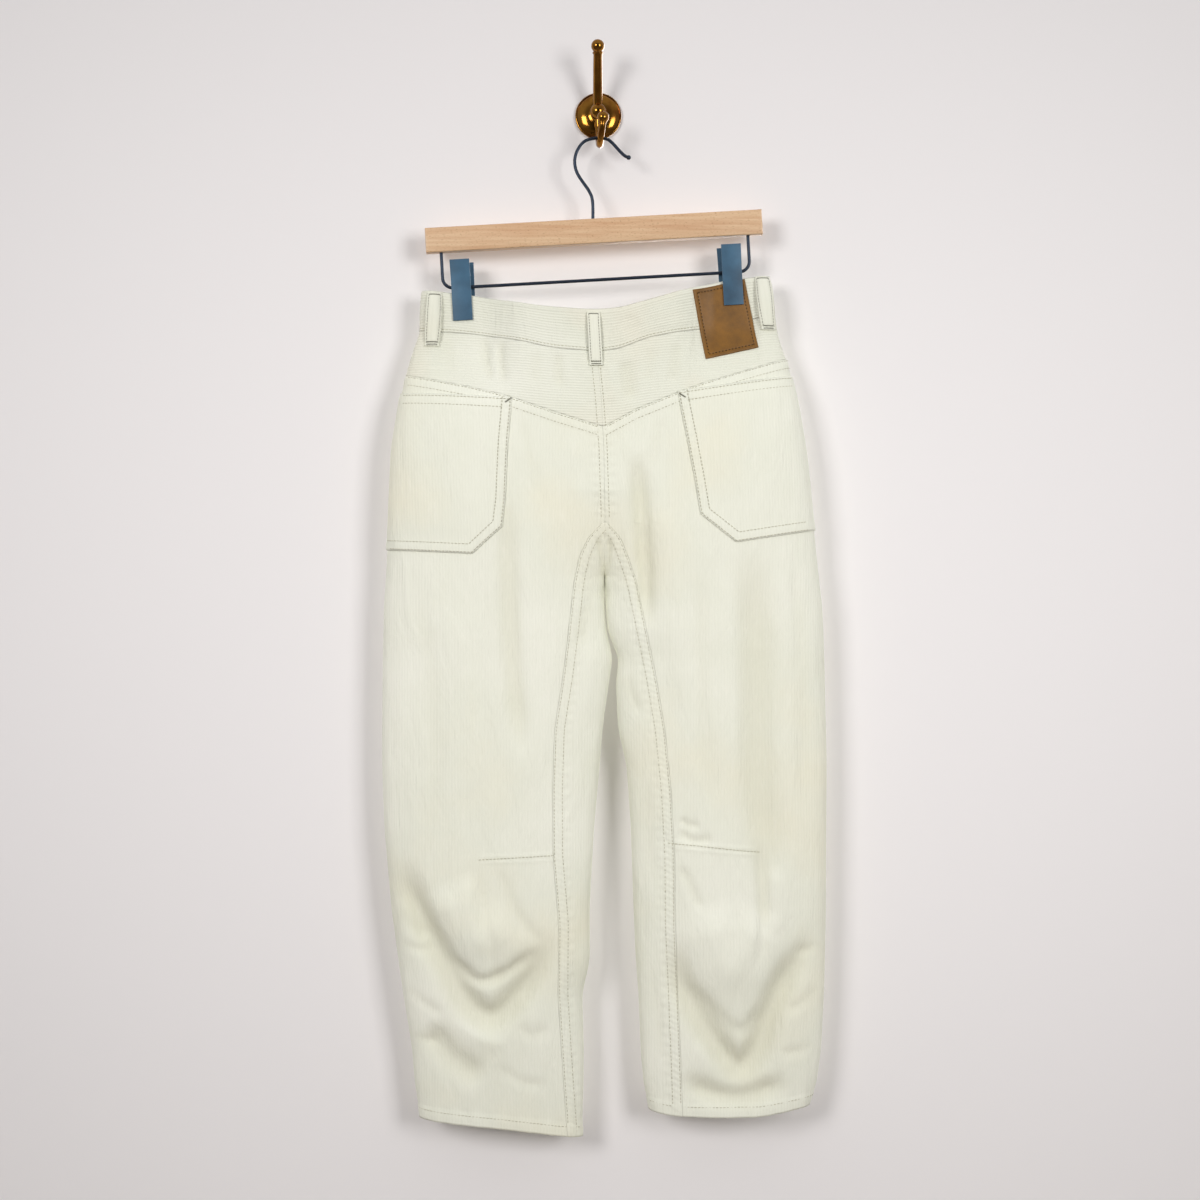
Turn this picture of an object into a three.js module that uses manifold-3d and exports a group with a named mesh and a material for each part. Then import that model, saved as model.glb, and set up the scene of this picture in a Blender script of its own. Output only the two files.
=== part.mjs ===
// Utility trousers of ribbed cotton, hung by the waist from a clip hanger on a wall hook.
// Millimetres, +Z up, +Y towards the wall, origin at the middle of the wall plate's back.
// The seat and the backs of the legs face away from the wall, towards -Y.
import * as THREE from "three";
import { mergeVertices } from "three/addons/utils/BufferGeometryUtils.js";
import Module from "manifold-3d";

const wasm = await Module();
wasm.setup();

// Cloth
const CLOTH_WALL = 1.6;
const BAND_WALL = 3.0;
const BAND_PROUD = 0.8;
const POCKET_WALL = 1.5;
const LOOP_WALL = 1.8;
const PATCH_WALL = 1.5;
const LAYER_GAP = 0.3;
const SEAM_GAP = 0.3;

// Heights that the whole cut hangs on
const CROTCH_Z = -442;
const SADDLE_Z = -499;
const BACK_SADDLE_REACH = 90;
const FRONT_SADDLE_REACH = 64;

// Hanger and wall hook
const HANGER_Y = -32;
const HANGER_TILT = THREE.MathUtils.degToRad(3.2);
const BAR_CENTRE = { x: -4.8, z: -132 };
const BAR = { length: 358.5, height: 26.3, depth: 12, bevel: 1.5 };
const WIRE_RADIUS = 1.75;
const HOLE_CLEARANCE = 0.3;
const ROD_DROP = 51.3;
const DROP_REACH = 163.5;
const ROD_BEND = 11;
const CLIP = { reach: 144, width: 21, top: -23, bottom: -87, plate: 1.5 };
const SPRING = { outer: 3.6, inner: 2.05, length: 12 };
const JAW_DEPTH = 2.6;
const JAW_GAP = 0.3;
const PLATE_RADIUS = 25;
const PLATE_THICKNESS = 8;

// The waist where the jaws hold it
const JAW_HALF_WIDTH = 20;
const GRIP_INSIDE = 50;
const GRIP_OUTSIDE = 11;
const GRIP_FADE = 85;
const EAR_DEPTH = 8;
const FRONT_DROP = 12;
const FRONT_DROP_REACH = 132;

// One row for each level section: the two silhouettes, the inner edges (the centre seam
// above the saddle), depth to the back and to the front of the middle plane, and how
// square the section is.
const SECTIONS = [
  { z: -178, leftOut: -188, leftIn: -4, rightIn: -4, rightOut: 180, back: 18, front: 15, square: 12 },
  { z: -195, leftOut: -188, leftIn: -4, rightIn: -4, rightOut: 183.2, back: 19, front: 16, square: 12 },
  { z: -215, leftOut: -190, leftIn: -3.6, rightIn: -3.6, rightOut: 187.3, back: 20, front: 17, square: 12 },
  { z: -240, leftOut: -190, leftIn: -3.1, rightIn: -3.1, rightOut: 190.5, back: 21, front: 18, square: 9 },
  { z: -256, leftOut: -196, leftIn: -2, rightIn: -2, rightOut: 194.9, back: 22, front: 19, square: 7 },
  { z: -272, leftOut: -201.2, leftIn: -0.6, rightIn: -0.6, rightOut: 201.4, back: 24, front: 20, square: 5.5 },
  { z: -312, leftOut: -211, leftIn: 3, rightIn: 3, rightOut: 211.2, back: 28, front: 22, square: 3.4 },
  { z: -366, leftOut: -219, leftIn: 5.8, rightIn: 5.8, rightOut: 220, back: 32, front: 23, square: 2.7 },
  { z: -442, leftOut: -222.3, leftIn: 6.8, rightIn: 6.8, rightOut: 228.1, back: 33, front: 24, square: 2.5 },
  { z: -499, leftOut: -225.3, leftIn: 6.6, rightIn: 6.6, rightOut: 233.9, back: 32, front: 24, square: 2.5 },
  { z: -529, leftOut: -227.5, leftIn: 6.6, rightIn: 7.3, rightOut: 237.6, back: 31, front: 24, square: 2.5 },
  { z: -556, leftOut: -228, leftIn: 8.4, rightIn: 9.2, rightOut: 238.9, back: 31, front: 24, square: 2.5 },
  { z: -586, leftOut: -228.6, leftIn: 15.2, rightIn: 21.8, rightOut: 239.9, back: 30, front: 24, square: 2.5 },
  { z: -612, leftOut: -229, leftIn: 11.2, rightIn: 18.6, rightOut: 240.5, back: 30, front: 24, square: 2.5 },
  { z: -660, leftOut: -229.4, leftIn: 4.4, rightIn: 20.8, rightOut: 241.7, back: 30, front: 24, square: 2.5 },
  { z: -700, leftOut: -229.4, leftIn: 1.4, rightIn: 30, rightOut: 242.5, back: 30, front: 24, square: 2.5 },
  { z: -765, leftOut: -227.2, leftIn: -4.5, rightIn: 34.5, rightOut: 242, back: 30, front: 24, square: 2.5 },
  { z: -850, leftOut: -219.7, leftIn: -9.2, rightIn: 37.3, rightOut: 241.6, back: 30, front: 23, square: 2.5 },
  { z: -906, leftOut: -212.3, leftIn: -8.9, rightIn: 39.8, rightOut: 240.6, back: 28, front: 22, square: 2.5 },
  { z: -942, leftOut: -207.2, leftIn: -17, rightIn: 42.6, rightOut: 239.6, back: 26, front: 21, square: 2.6 },
  { z: -1000, leftOut: -197.7, leftIn: -15.3, rightIn: 44.9, rightOut: 236.6, back: 23, front: 19, square: 2.8 },
  { z: -1036, leftOut: -195, leftIn: -15.7, rightIn: 47.8, rightOut: 231.8, back: 21, front: 18, square: 3 },
  { z: -1062, leftOut: -190.6, leftIn: -16.6, rightIn: 53.5, rightOut: 223, back: 20, front: 17, square: 3.2 },
  { z: -1092, leftOut: -186.5, leftIn: -17, rightIn: 58, rightOut: 214, back: 19, front: 16, square: 3.4 },
];
const MIDDLE_PLANE = [
  { z: -1092, y: -36 },
  { z: -450, y: -37 },
  { z: -236, y: HANGER_Y },
];

// Edges and seams that run across, as heights along the width
const WAIST_TOP = [
  { x: -192, z: -195 },
  { x: -167, z: -197 },
  { x: -131, z: -203.5 },
  { x: -100, z: -214 },
  { x: -50, z: -218.5 },
  { x: 0, z: -220.5 },
  { x: 22, z: -219 },
  { x: 62, z: -208 },
  { x: 100, z: -195.6 },
  { x: 131, z: -187 },
  { x: 160, z: -182 },
  { x: 192, z: -178.5 },
];
const BAND_SEAM = [
  { x: -200, z: -238 },
  { x: -149, z: -240 },
  { x: -121, z: -243 },
  { x: -89, z: -249.5 },
  { x: -49, z: -258.6 },
  { x: 0, z: -262.8 },
  { x: 23, z: -259.6 },
  { x: 51, z: -248 },
  { x: 107, z: -237.3 },
  { x: 171, z: -224.2 },
  { x: 200, z: -219 },
];
const YOKE_SEAM = [
  { x: -215, z: -284 },
  { x: -139, z: -298.8 },
  { x: -97, z: -309.4 },
  { x: -48, z: -326.3 },
  { x: 5.6, z: -343.1 },
  { x: 40, z: -324.2 },
  { x: 89, z: -304.2 },
  { x: 111, z: -295.7 },
  { x: 152, z: -282.7 },
  { x: 215, z: -264 },
];
const HEM = [
  { x: -200, z: -1071 },
  { x: -105, z: -1078 },
  { x: -10, z: -1085.5 },
  { x: 40, z: -1056 },
  { x: 130, z: -1062.5 },
  { x: 240, z: -1059.5 },
];
// Where each inseam runs down the back face, from the point where the four seams meet
const INSEAM = [
  { z: -442, left: 6.8, right: 6.8 },
  { z: -458, left: -10.2, right: 22.8 },
  { z: -478, left: -19.6, right: 30.8 },
  { z: -504, left: -25.2, right: 39.9 },
  { z: -567, left: -32.3, right: 52.8 },
  { z: -604, left: -37.0, right: 60.3 },
  { z: -660, left: -45.8, right: 69.8 },
  { z: -724, left: -47.9, right: 76.2 },
  { z: -792, left: -47.6, right: 79.9 },
  { z: -862, left: -41.7, right: 80.4 },
  { z: -940, left: -42.3, right: 83.9 },
  { z: -1024, left: -37.2, right: 87.3 },
  { z: -1092, left: -32.5, right: 89.6 },
];
const POCKET_OUTLINE = {
  left: [
    { x: -245, z: -303.6 },
    { x: -90.4, z: -311.5 },
    { x: -94.4, z: -358.9 },
    { x: -100.6, z: -446.8 },
    { x: -131.4, z: -475.6 },
    { x: -245, z: -470.2 },
  ],
  right: [
    { x: 245, z: -281.0 },
    { x: 82.9, z: -305.2 },
    { x: 92.6, z: -354.7 },
    { x: 106.6, z: -434.3 },
    { x: 143.7, z: -463.5 },
    { x: 250, z: -447.0 },
  ],
};

// Loops, patch and button
const LOOP_WIDTH = 14;
const LOOP_LENGTH = 57;
const LOOP_LEVELS = [0, 0.2, 0.4, 0.6, 0.8, 1];
const CENTRE_LOOP = { x: -5.3, z: -220.8, lean: 3.1 };
const SIDE_LOOPS = [
  { name: "loop_back_left", side: "left", onBack: true, x: -173.9, z: -198, lean: -3 },
  { name: "loop_back_right", side: "right", onBack: true, x: 173.9, z: -180.6, lean: 6.4 },
  { name: "loop_front_left", side: "left", onBack: false, x: -98, z: -209, lean: 3 },
  { name: "loop_front_right", side: "right", onBack: false, x: 96, z: -195, lean: 3 },
];
const PATCH_OUTLINE = [
  { x: 99.6, z: -195.7 },
  { x: 155.3, z: -182.9 },
  { x: 169.8, z: -256.5 },
  { x: 113.4, z: -269.6 },
];
const LAP_STATIONS = [6.11, 5.77, 5.55];
const LAP_STEP_SHARES = [0.5, 1, 1];
const BUTTON_TURN = 5.77;
const BUTTON_PROFILE = [[0, 0], [8.5, 0], [8.8, 1.2], [8.2, 2.6], [6.8, 2.6], [5.6, 1.8], [0, 1.8]];
const BEFORE_CLOTH = -120;
const BEHIND_CLOTH = 10;

// Hanger hook, in its own plane, from its socket to its ball
const HOOK_ROUTE = [
  { x: -5.2, z: -129 },
  { x: -5.7, z: -118.5 },
  { x: -6.2, z: -99.2 },
  { x: -10.0, z: -88.5 },
  { x: -21.8, z: -70.9 },
  { x: -25.1, z: -58.7 },
  { x: -23.6, z: -48.4 },
  { x: -18.8, z: -39.6 },
  { x: -12.9, z: -34.7 },
  { x: -4.7, z: -32.5 },
  { x: 1.7, z: -32.1 },
  { x: 9.6, z: -33.5 },
  { x: 15.5, z: -38.0 },
  { x: 21.5, z: -44.7 },
  { x: 27.5, z: -50.6 },
  { x: 32.3, z: -52.9 },
];
const HOOK_BALL_RADIUS = 2.5;
const HOOK_STEPS = 36;
const ROD_STEPS = 44;
const WIRE_SIDES = 8;
const SOCKET_DEPTH = 14;
const SOCKET_OVER = 2;
const SHANK_X = -0.2;
const DROP_INSIDE = 11;
const CLIP_SPLAY = 9.5;

// Wall plate, boss and arms
const PLATE_PROFILE = [
  [0, -PLATE_THICKNESS],
  [10, -7.4],
  [16, -6.4],
  [22.5, -4.2],
  [PLATE_RADIUS, -2],
  [PLATE_RADIUS, 0],
  [0, 0],
];
const BOSS_PROFILE = [[0, -16], [6.5, -14.5], [8.5, -11], [8.5, -8.3], [0, -8.3]];
const UPPER_ARM = [
  { x: -0.7, y: -13.5, z: 4 },
  { x: -0.7, y: -19, z: 12 },
  { x: -0.7, y: -27, z: 26 },
  { x: -0.7, y: -37, z: 42 },
  { x: -0.6, y: -46, z: 53 },
  { x: -0.6, y: -50, z: 60 },
];
const UPPER_ARM_RADIUS = 4.6;
const UPPER_BALL_RADIUS = 7;
const LOWER_ARM = [
  { x: 0, y: -12.5, z: -6 },
  { x: 0.4, y: -12, z: -18 },
  { x: 0.9, y: -17, z: -30 },
  { x: 1.3, y: -26, z: -37 },
  { x: 1.5, y: -34, z: -38 },
  { x: 2.6, y: -43, z: -33 },
  { x: 4, y: -49, z: -24 },
  { x: 4.9, y: -50, z: -15 },
];
const LOWER_ARM_RADIUS = 3.5;
const LOWER_BALL_RADIUS = 6.3;

// Largest folds: the line that each follows on its face, how far it stands out (+) or
// sinks in (-), and how wide it is to either side.
const FOLDS = [
  { face: "back", rise: -3, width: 14, line: [[-97, -400], [-90, -545], [-82, -628], [-71, -691]] },
  { face: "back", rise: -8, width: 14, line: [[-212, -796], [-190, -828], [-134, -932], [-112, -956]] },
  { face: "back", rise: -6, width: 15, line: [[-122, -956], [-92, -948], [-66, -927], [-44, -870]] },
  { face: "back", rise: 5, width: 30, line: [[-165, -845], [-125, -880], [-80, -860]] },
  { face: "back", rise: -3.5, width: 10, line: [[-174, -870], [-145, -906], [-124, -916], [-66, -890]] },
  { face: "back", rise: -4, width: 14, line: [[-180, -976], [-150, -1006], [-120, -1029]] },
  { face: "back", rise: -5, width: 20, line: [[156, -455], [164, -566], [166, -691], [183, -837]] },
  { face: "back", rise: -5, width: 9, line: [[42, -388], [46, -451], [50, -500], [51, -545]] },
  { face: "back", rise: -7, width: 14, line: [[84, -905], [106, -942], [132, -992]] },
  { face: "back", rise: -7, width: 14, line: [[126, -994], [153, -974], [190, -910], [201, -848]] },
  { face: "back", rise: -3.5, width: 10, line: [[96, -927], [143, -942], [169, -927]] },
  { face: "back", rise: 5, width: 28, line: [[115, -870], [145, -895], [178, -860]] },
  { face: "back", rise: -4, width: 12, line: [[88, -1020], [107, -1041], [148, -1052], [201, -1034]] },
  { face: "front", rise: -5, width: 16, line: [[-205, -560], [-165, -690], [-150, -780]] },
  { face: "front", rise: -5, width: 17, line: [[-60, -700], [-105, -800], [-170, -850]] },
  { face: "front", rise: -4, width: 14, line: [[-180, -950], [-110, -985], [-50, -960]] },
  { face: "front", rise: -5, width: 16, line: [[215, -560], [180, -680], [172, -770]] },
  { face: "front", rise: -5, width: 16, line: [[75, -720], [120, -815], [190, -850]] },
  { face: "front", rise: -4, width: 14, line: [[80, -975], [140, -1005], [205, -965]] },
  { face: "front", rise: -4, width: 12, line: [[-20, -380], [-75, -430], [-130, -450]] },
  { face: "front", rise: -4, width: 12, line: [[30, -385], [85, -432], [140, -450]] },
];

// Angles round one half section. 0 is the centre or inner edge on the back, half a turn
// is the outer edge, and a whole turn is the centre or inner edge on the front.
const HALF_TURN = Math.PI;
const FULL_TURN = 2 * Math.PI;
const OUTSEAM_TURN = 3.39;
const BACK_STATIONS = [
  0, 0.3, 0.56, 0.86, 1.1, 1.32, 1.52, 1.72, 1.93, 2.15, 2.37, 2.59, 2.79, 2.97, HALF_TURN, OUTSEAM_TURN,
];
const FRONT_STATIONS = [
  OUTSEAM_TURN, 3.5, 3.7, 3.91, 4.13, 4.35, 4.56, 4.76, 4.97, 5.18, 5.42, 5.73, 5.93, 6.11, FULL_TURN,
];
const STRIP_STATIONS = [0, 0.18, 0.38, 0.66, 1];

// Level steps between the boundary lines, as shares of each zone
const BAND_STEPS = [0, 0.5, 1];
const YOKE_STEPS = [0, 0.33, 0.66, 1];
const SEAT_STEPS = [0, 0.16, 0.34, 0.52, 0.7, 0.86, 1];
const FORK_STEPS = [0, 0.14, 0.34, 0.58, 0.8, 0.94, 1];
// The strip inside each inseam starts here, a little below the crotch and narrow.
const FORK_TIP = { zone: 3, share: 0.06, width: 0.7 };
const THIGH_ROWS = 8;
const CALF_ROWS = 12;
const KNEE_SHARE = 0.48;
const LEG_STEPS = Array.from({ length: THIGH_ROWS + CALF_ROWS + 1 }, (_, i) =>
  i < THIGH_ROWS
    ? (KNEE_SHARE * i) / THIGH_ROWS
    : KNEE_SHARE + ((1 - KNEE_SHARE) * (i - THIGH_ROWS)) / CALF_ROWS,
);

const SIDES = {
  left: { sign: -1, out: "leftOut", inner: "leftIn", clip: -144.6, jawEnd: -241 },
  right: { sign: 1, out: "rightOut", inner: "rightIn", clip: 144.8, jawEnd: -230 },
};

const smooth = (v) => THREE.MathUtils.smoothstep(v, 0, 1);

// Reads a column of a table at a height or width, straight between its rows.
function track(table, by, column, at) {
  const rows = table[0][by] < table[table.length - 1][by] ? table : [...table].reverse();
  if (at <= rows[0][by]) return rows[0][column];
  for (let i = 1; i < rows.length; i += 1) {
    if (at <= rows[i][by]) {
      const share = (at - rows[i - 1][by]) / (rows[i][by] - rows[i - 1][by]);
      return THREE.MathUtils.lerp(rows[i - 1][column], rows[i][column], share);
    }
  }
  return rows[rows.length - 1][column];
}

// Outer edge, inner edge, middle and half width of one half at a height.
function halfSection(side, z) {
  const outer = track(SECTIONS, "z", side.out, z);
  const inner = track(SECTIONS, "z", side.inner, z) + (side.sign * SEAM_GAP) / 2;
  return { middle: (outer + inner) / 2, reach: (inner - outer) / 2 };
}

const acrossAt = (side, z, turn) => {
  const { middle, reach } = halfSection(side, z);
  return middle + reach * Math.cos(turn);
};

const turnAt = (side, z, x) => {
  const { middle, reach } = halfSection(side, z);
  return Math.acos(THREE.MathUtils.clamp((x - middle) / reach, -1, 1));
};

// How far a face stands from the middle plane where the clips press the waist flat.
function gripped(side, depth, x, z) {
  const beside = (x - side.clip) * side.sign;
  const free = beside > 0 ? EAR_DEPTH : depth;
  const span = beside > 0 ? GRIP_OUTSIDE : GRIP_INSIDE;
  const away = smooth((Math.abs(beside) - JAW_HALF_WIDTH) / span);
  const held = THREE.MathUtils.lerp(JAW_DEPTH, free, away);
  const hold = 1 - smooth((side.jawEnd - z) / GRIP_FADE);
  return THREE.MathUtils.lerp(depth, Math.min(held, depth), hold);
}

// Distance from a point to a fold's line, and where along the line it is nearest.
function nearLine(line, x, z) {
  let gap = Infinity;
  let along = 0;
  let best = 0;
  for (let i = 1; i < line.length; i += 1) {
    const [ax, az] = line[i - 1];
    const [bx, bz] = line[i];
    const length = Math.hypot(bx - ax, bz - az);
    const share = ((x - ax) * (bx - ax) + (z - az) * (bz - az)) / (length * length);
    const at = THREE.MathUtils.clamp(share, 0, 1);
    const d = Math.hypot(x - ax - at * (bx - ax), z - az - at * (bz - az));
    if (d < gap) {
      gap = d;
      best = along + at * length;
    }
    along += length;
  }
  return { gap, share: best / along };
}

function foldRise(face, x, z) {
  let rise = 0;
  for (const fold of FOLDS) {
    if (fold.face !== face) continue;
    const { gap, share } = nearLine(fold.line, x, z);
    const taper = smooth(share / 0.25) * smooth((1 - share) / 0.25);
    rise += fold.rise * taper * Math.exp(-((gap / fold.width) ** 2));
  }
  return rise;
}

// A point of the cloth's outer surface on one half.
function clothPoint(side, z, turn) {
  const { middle, reach } = halfSection(side, z);
  const across = Math.cos(turn);
  const x = middle + reach * across;
  const onBack = turn <= HALF_TURN;
  const reachUp = onBack ? BACK_SADDLE_REACH : FRONT_SADDLE_REACH;
  const open = THREE.MathUtils.clamp((z - SADDLE_Z) / reachUp, 0, 1);
  const square = track(SECTIONS, "z", "square", z);
  const closing = across > 0 ? 1 - open : 1;
  const round = Math.sqrt(Math.max(0, 1 - closing * Math.abs(across) ** square));
  const full = track(SECTIONS, "z", onBack ? "back" : "front", z);
  const depth = gripped(side, full, x, z) * round;
  const edgeFade = smooth((1 - Math.abs(across)) / 0.3);
  const innerFade = across > 0 ? Math.max(edgeFade, open) : edgeFade;
  const rise = foldRise(onBack ? "back" : "front", x, z) * innerFade;
  const middleY = track(MIDDLE_PLANE, "z", "y", z);
  const y = onBack ? middleY - depth - rise : middleY + depth + rise;
  return new THREE.Vector3(x, y, z);
}

// Outward direction of the cloth there, the same for both pieces that meet at a seam.
function clothNormal(side, z, turn) {
  const turnStep = 0.04;
  const levelStep = 1.5;
  const from = clothPoint(side, z, Math.max(0, turn - turnStep));
  const to = clothPoint(side, z, Math.min(FULL_TURN, turn + turnStep));
  const below = clothPoint(side, z - levelStep, turn);
  const above = clothPoint(side, z + levelStep, turn);
  const normal = to.sub(from).cross(above.sub(below)).normalize();
  return normal.multiplyScalar(side.sign);
}

const frontDrop = (x, turn) => {
  if (turn <= HALF_TURN) return 0;
  return FRONT_DROP * Math.max(0, 1 - (x / FRONT_DROP_REACH) ** 2);
};

// Boundary lines from the waist down, each as a height for a place round the section.
const LINES = [
  (x, turn) => track(WAIST_TOP, "x", "z", x) - frontDrop(x, turn),
  (x, turn) => track(BAND_SEAM, "x", "z", x) - frontDrop(x, turn),
  (x) => track(YOKE_SEAM, "x", "z", x),
  () => CROTCH_Z,
  () => SADDLE_Z,
  (x) => track(HEM, "x", "z", x),
];
const ZONE_STEPS = [BAND_STEPS, YOKE_STEPS, SEAT_STEPS, FORK_STEPS, LEG_STEPS];

const levelAt = (zone, share, x, turn) =>
  THREE.MathUtils.lerp(LINES[zone](x, turn), LINES[zone + 1](x, turn), share);

const inseamTurn = (side, z) => {
  if (z >= CROTCH_Z) return 0;
  return turnAt(side, z, track(INSEAM, "z", side.sign < 0 ? "left" : "right", z));
};

// Height and turn of a grid corner, settled in a few rounds because each needs the other.
function settle(side, zone, share, turnOf) {
  let z = LINES[zone](side.sign * 100, 0);
  let turn = turnOf(z);
  for (let round = 0; round < 6; round += 1) {
    z = levelAt(zone, share, acrossAt(side, z, turn), turn);
    turn = turnOf(z);
  }
  return { z, turn };
}

const rowsBetween = (first, last) => {
  const rows = [];
  for (let zone = first; zone < last; zone += 1) {
    ZONE_STEPS[zone].forEach((share, i) => {
      if (i > 0 || zone === first) rows.push({ zone, share });
    });
  }
  return rows;
};

const backTurn = (station) => (side) => (z) => {
  const start = inseamTurn(side, z);
  return start + (station / OUTSEAM_TURN) * (OUTSEAM_TURN - start);
};
const fixedTurn = (station) => () => () => station;
const stripTurn = (share) => (side) => (z) => share * inseamTurn(side, z);

function cornersOf(side, rows, turns) {
  return rows.map(({ zone, share }) =>
    turns.map((turnOf) => {
      const { z, turn } = settle(side, zone, share, turnOf(side));
      return { at: clothPoint(side, z, turn), normal: clothNormal(side, z, turn), z, turn };
    }),
  );
}

// Draws the chosen edges of a grid in by half a seam gap, along the cloth.
function drawIn(corners, { top = false, bottom = false, start = false, end = false }) {
  const last = corners.length - 1;
  const side = corners[0].length - 1;
  const shift = (corner, towards) => {
    const step = towards.at.clone().sub(corner.at).setLength(SEAM_GAP / 2);
    corner.at.add(step);
  };
  for (let j = 0; j <= side; j += 1) {
    if (top) shift(corners[0][j], corners[1][j]);
    if (bottom) shift(corners[last][j], corners[last - 1][j]);
  }
  for (let i = 0; i <= last; i += 1) {
    if (start && corners[i][0].turn > 0) shift(corners[i][0], corners[i][1]);
    if (end && corners[i][side].turn < FULL_TURN) shift(corners[i][side], corners[i][side - 1]);
  }
  return corners;
}

// Gathers grids of cloth corners into one sheet, joining corners that fall together.
class Sheet {
  constructor() {
    this.corners = [];
    this.faces = [];
    this.found = new Map();
  }

  cornerIndex(corner) {
    const key = corner.at.toArray().map((v) => Math.round(v * 50)).join(" ");
    if (!this.found.has(key)) {
      this.found.set(key, this.corners.length);
      this.corners.push(corner);
    }
    return this.found.get(key);
  }

  addGrid(grid, flip) {
    const index = grid.map((row) => row.map((corner) => this.cornerIndex(corner)));
    for (let i = 1; i < index.length; i += 1) {
      for (let j = 1; j < index[i].length; j += 1) {
        const [a, b] = [index[i - 1][j - 1], index[i - 1][j]];
        const [c, d] = [index[i][j], index[i][j - 1]];
        this.addFace(a, d, c, flip);
        this.addFace(a, c, b, flip);
      }
    }
    return this;
  }

  addFace(a, b, c, flip) {
    if (a === b || b === c || a === c) return;
    this.faces.push(flip ? [a, c, b] : [a, b, c]);
  }

  // A closed wall whose outer side stands out from the cloth's outer surface.
  wall(out, thickness) {
    const count = this.corners.length;
    const position = [];
    const outOf = (corner) => out + (corner.extra ?? 0);
    for (const corner of this.corners) {
      position.push(...corner.at.clone().addScaledVector(corner.normal, outOf(corner)));
    }
    for (const corner of this.corners) {
      position.push(...corner.at.clone().addScaledVector(corner.normal, outOf(corner) - thickness));
    }
    const index = [];
    const edges = new Map();
    for (const [a, b, c] of this.faces) {
      index.push(a, b, c, a + count, c + count, b + count);
      for (const [p, q] of [[a, b], [b, c], [c, a]]) {
        const back = q + " " + p;
        if (edges.has(back)) edges.delete(back);
        else edges.set(p + " " + q, [p, q]);
      }
    }
    for (const [p, q] of edges.values()) {
      index.push(p, p + count, q + count, p, q + count, q);
    }
    const geometry = new THREE.BufferGeometry();
    geometry.setAttribute("position", new THREE.Float32BufferAttribute(position, 3));
    geometry.setIndex(index);
    return geometry;
  }
}

// Closed geometry to manifold solid and back
function solidOf(geometry) {
  const bare = geometry.clone();
  bare.deleteAttribute("normal");
  bare.deleteAttribute("uv");
  const merged = mergeVertices(bare, 1e-4);
  return new wasm.Manifold(
    new wasm.Mesh({
      numProp: 3,
      vertProperties: new Float32Array(merged.attributes.position.array),
      triVerts: new Uint32Array(merged.index.array),
    }),
  );
}

function geometryOf(solid) {
  const mesh = solid.getMesh();
  const geometry = new THREE.BufferGeometry();
  geometry.setAttribute("position", new THREE.BufferAttribute(mesh.vertProperties, 3));
  geometry.setIndex(new THREE.BufferAttribute(mesh.triVerts, 1));
  return geometry;
}

// A straight-sided block over an outline of widths and heights, from y = near to y = far.
function blockOver(outline, near, far) {
  const shape = new THREE.Shape(outline.map(({ x, z }) => new THREE.Vector2(x, z)));
  const block = new THREE.ExtrudeGeometry(shape, { depth: far - near, bevelEnabled: false });
  return block.rotateX(Math.PI / 2).translate(0, far, 0);
}

const cutOver = (geometry, outline, near, far) =>
  geometryOf(solidOf(geometry).intersect(solidOf(blockOver(outline, near, far))));

const CLOTH = { color: 0xe6e7d9, roughness: 0.95, metalness: 0 };
const LEATHER = { color: 0x885f29, roughness: 0.6, metalness: 0 };
const BRASS = { color: 0xb58a3a, roughness: 0.25, metalness: 1 };
const WOOD = { color: 0xd0ac88, roughness: 0.6, metalness: 0 };
const PAINTED_STEEL = { color: 0x516e86, roughness: 0.45, metalness: 0.3 };
const DARK_WIRE = { color: 0x4a4f58, roughness: 0.4, metalness: 0.8 };
const HORN = { color: 0xc9b58e, roughness: 0.4, metalness: 0 };

function piece(name, geometry, look) {
  const mesh = new THREE.Mesh(geometry, new THREE.MeshStandardMaterial(look));
  mesh.name = name;
  return mesh;
}

const garment = new THREE.Group();
const backTurns = BACK_STATIONS.map(backTurn);
const frontTurns = FRONT_STATIONS.map(fixedTurn);
const bandTurns = [...BACK_STATIONS, ...FRONT_STATIONS.slice(1)].map(fixedTurn);

function sheetOf(side, ...grids) {
  const sheet = new Sheet();
  grids.forEach((grid) => sheet.addGrid(grid, side.sign < 0));
  return sheet;
}

// Yoke, back, front and pocket of each half
for (const [sideName, side] of Object.entries(SIDES)) {
  const yoke = cornersOf(side, rowsBetween(1, 2), backTurns);
  drawIn(yoke, { top: true, bottom: true, end: true });
  garment.add(piece("yoke_" + sideName, sheetOf(side, yoke).wall(0, CLOTH_WALL), CLOTH));

  const back = cornersOf(side, rowsBetween(2, 5), backTurns);
  drawIn(back, { top: true, start: true, end: true });
  const backSheet = sheetOf(side, back);
  garment.add(piece("back_" + sideName, backSheet.wall(0, CLOTH_WALL), CLOTH));

  const front = cornersOf(side, rowsBetween(1, 5), frontTurns);
  drawIn(front, { top: true, start: true });
  // The strip inside the inseam, on the back face, tapers to the crotch.
  const strip = [
    ...cornersOf(side, [FORK_TIP], STRIP_STATIONS.map((share) => stripTurn(share * FORK_TIP.width))),
    ...cornersOf(side, rowsBetween(3, 5).slice(1), STRIP_STATIONS.map(stripTurn)),
  ];
  drawIn(strip, { end: true });
  const frontWall = sheetOf(side, front, strip).wall(0, CLOTH_WALL);
  garment.add(piece("front_" + sideName, frontWall, CLOTH));

  const pocketWall = backSheet.wall(LAYER_GAP + POCKET_WALL, POCKET_WALL);
  const pocket = cutOver(pocketWall, POCKET_OUTLINE[sideName], BEFORE_CLOTH, BEHIND_CLOTH);
  garment.add(piece("pocket_" + sideName, pocket, CLOTH));
}

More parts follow.
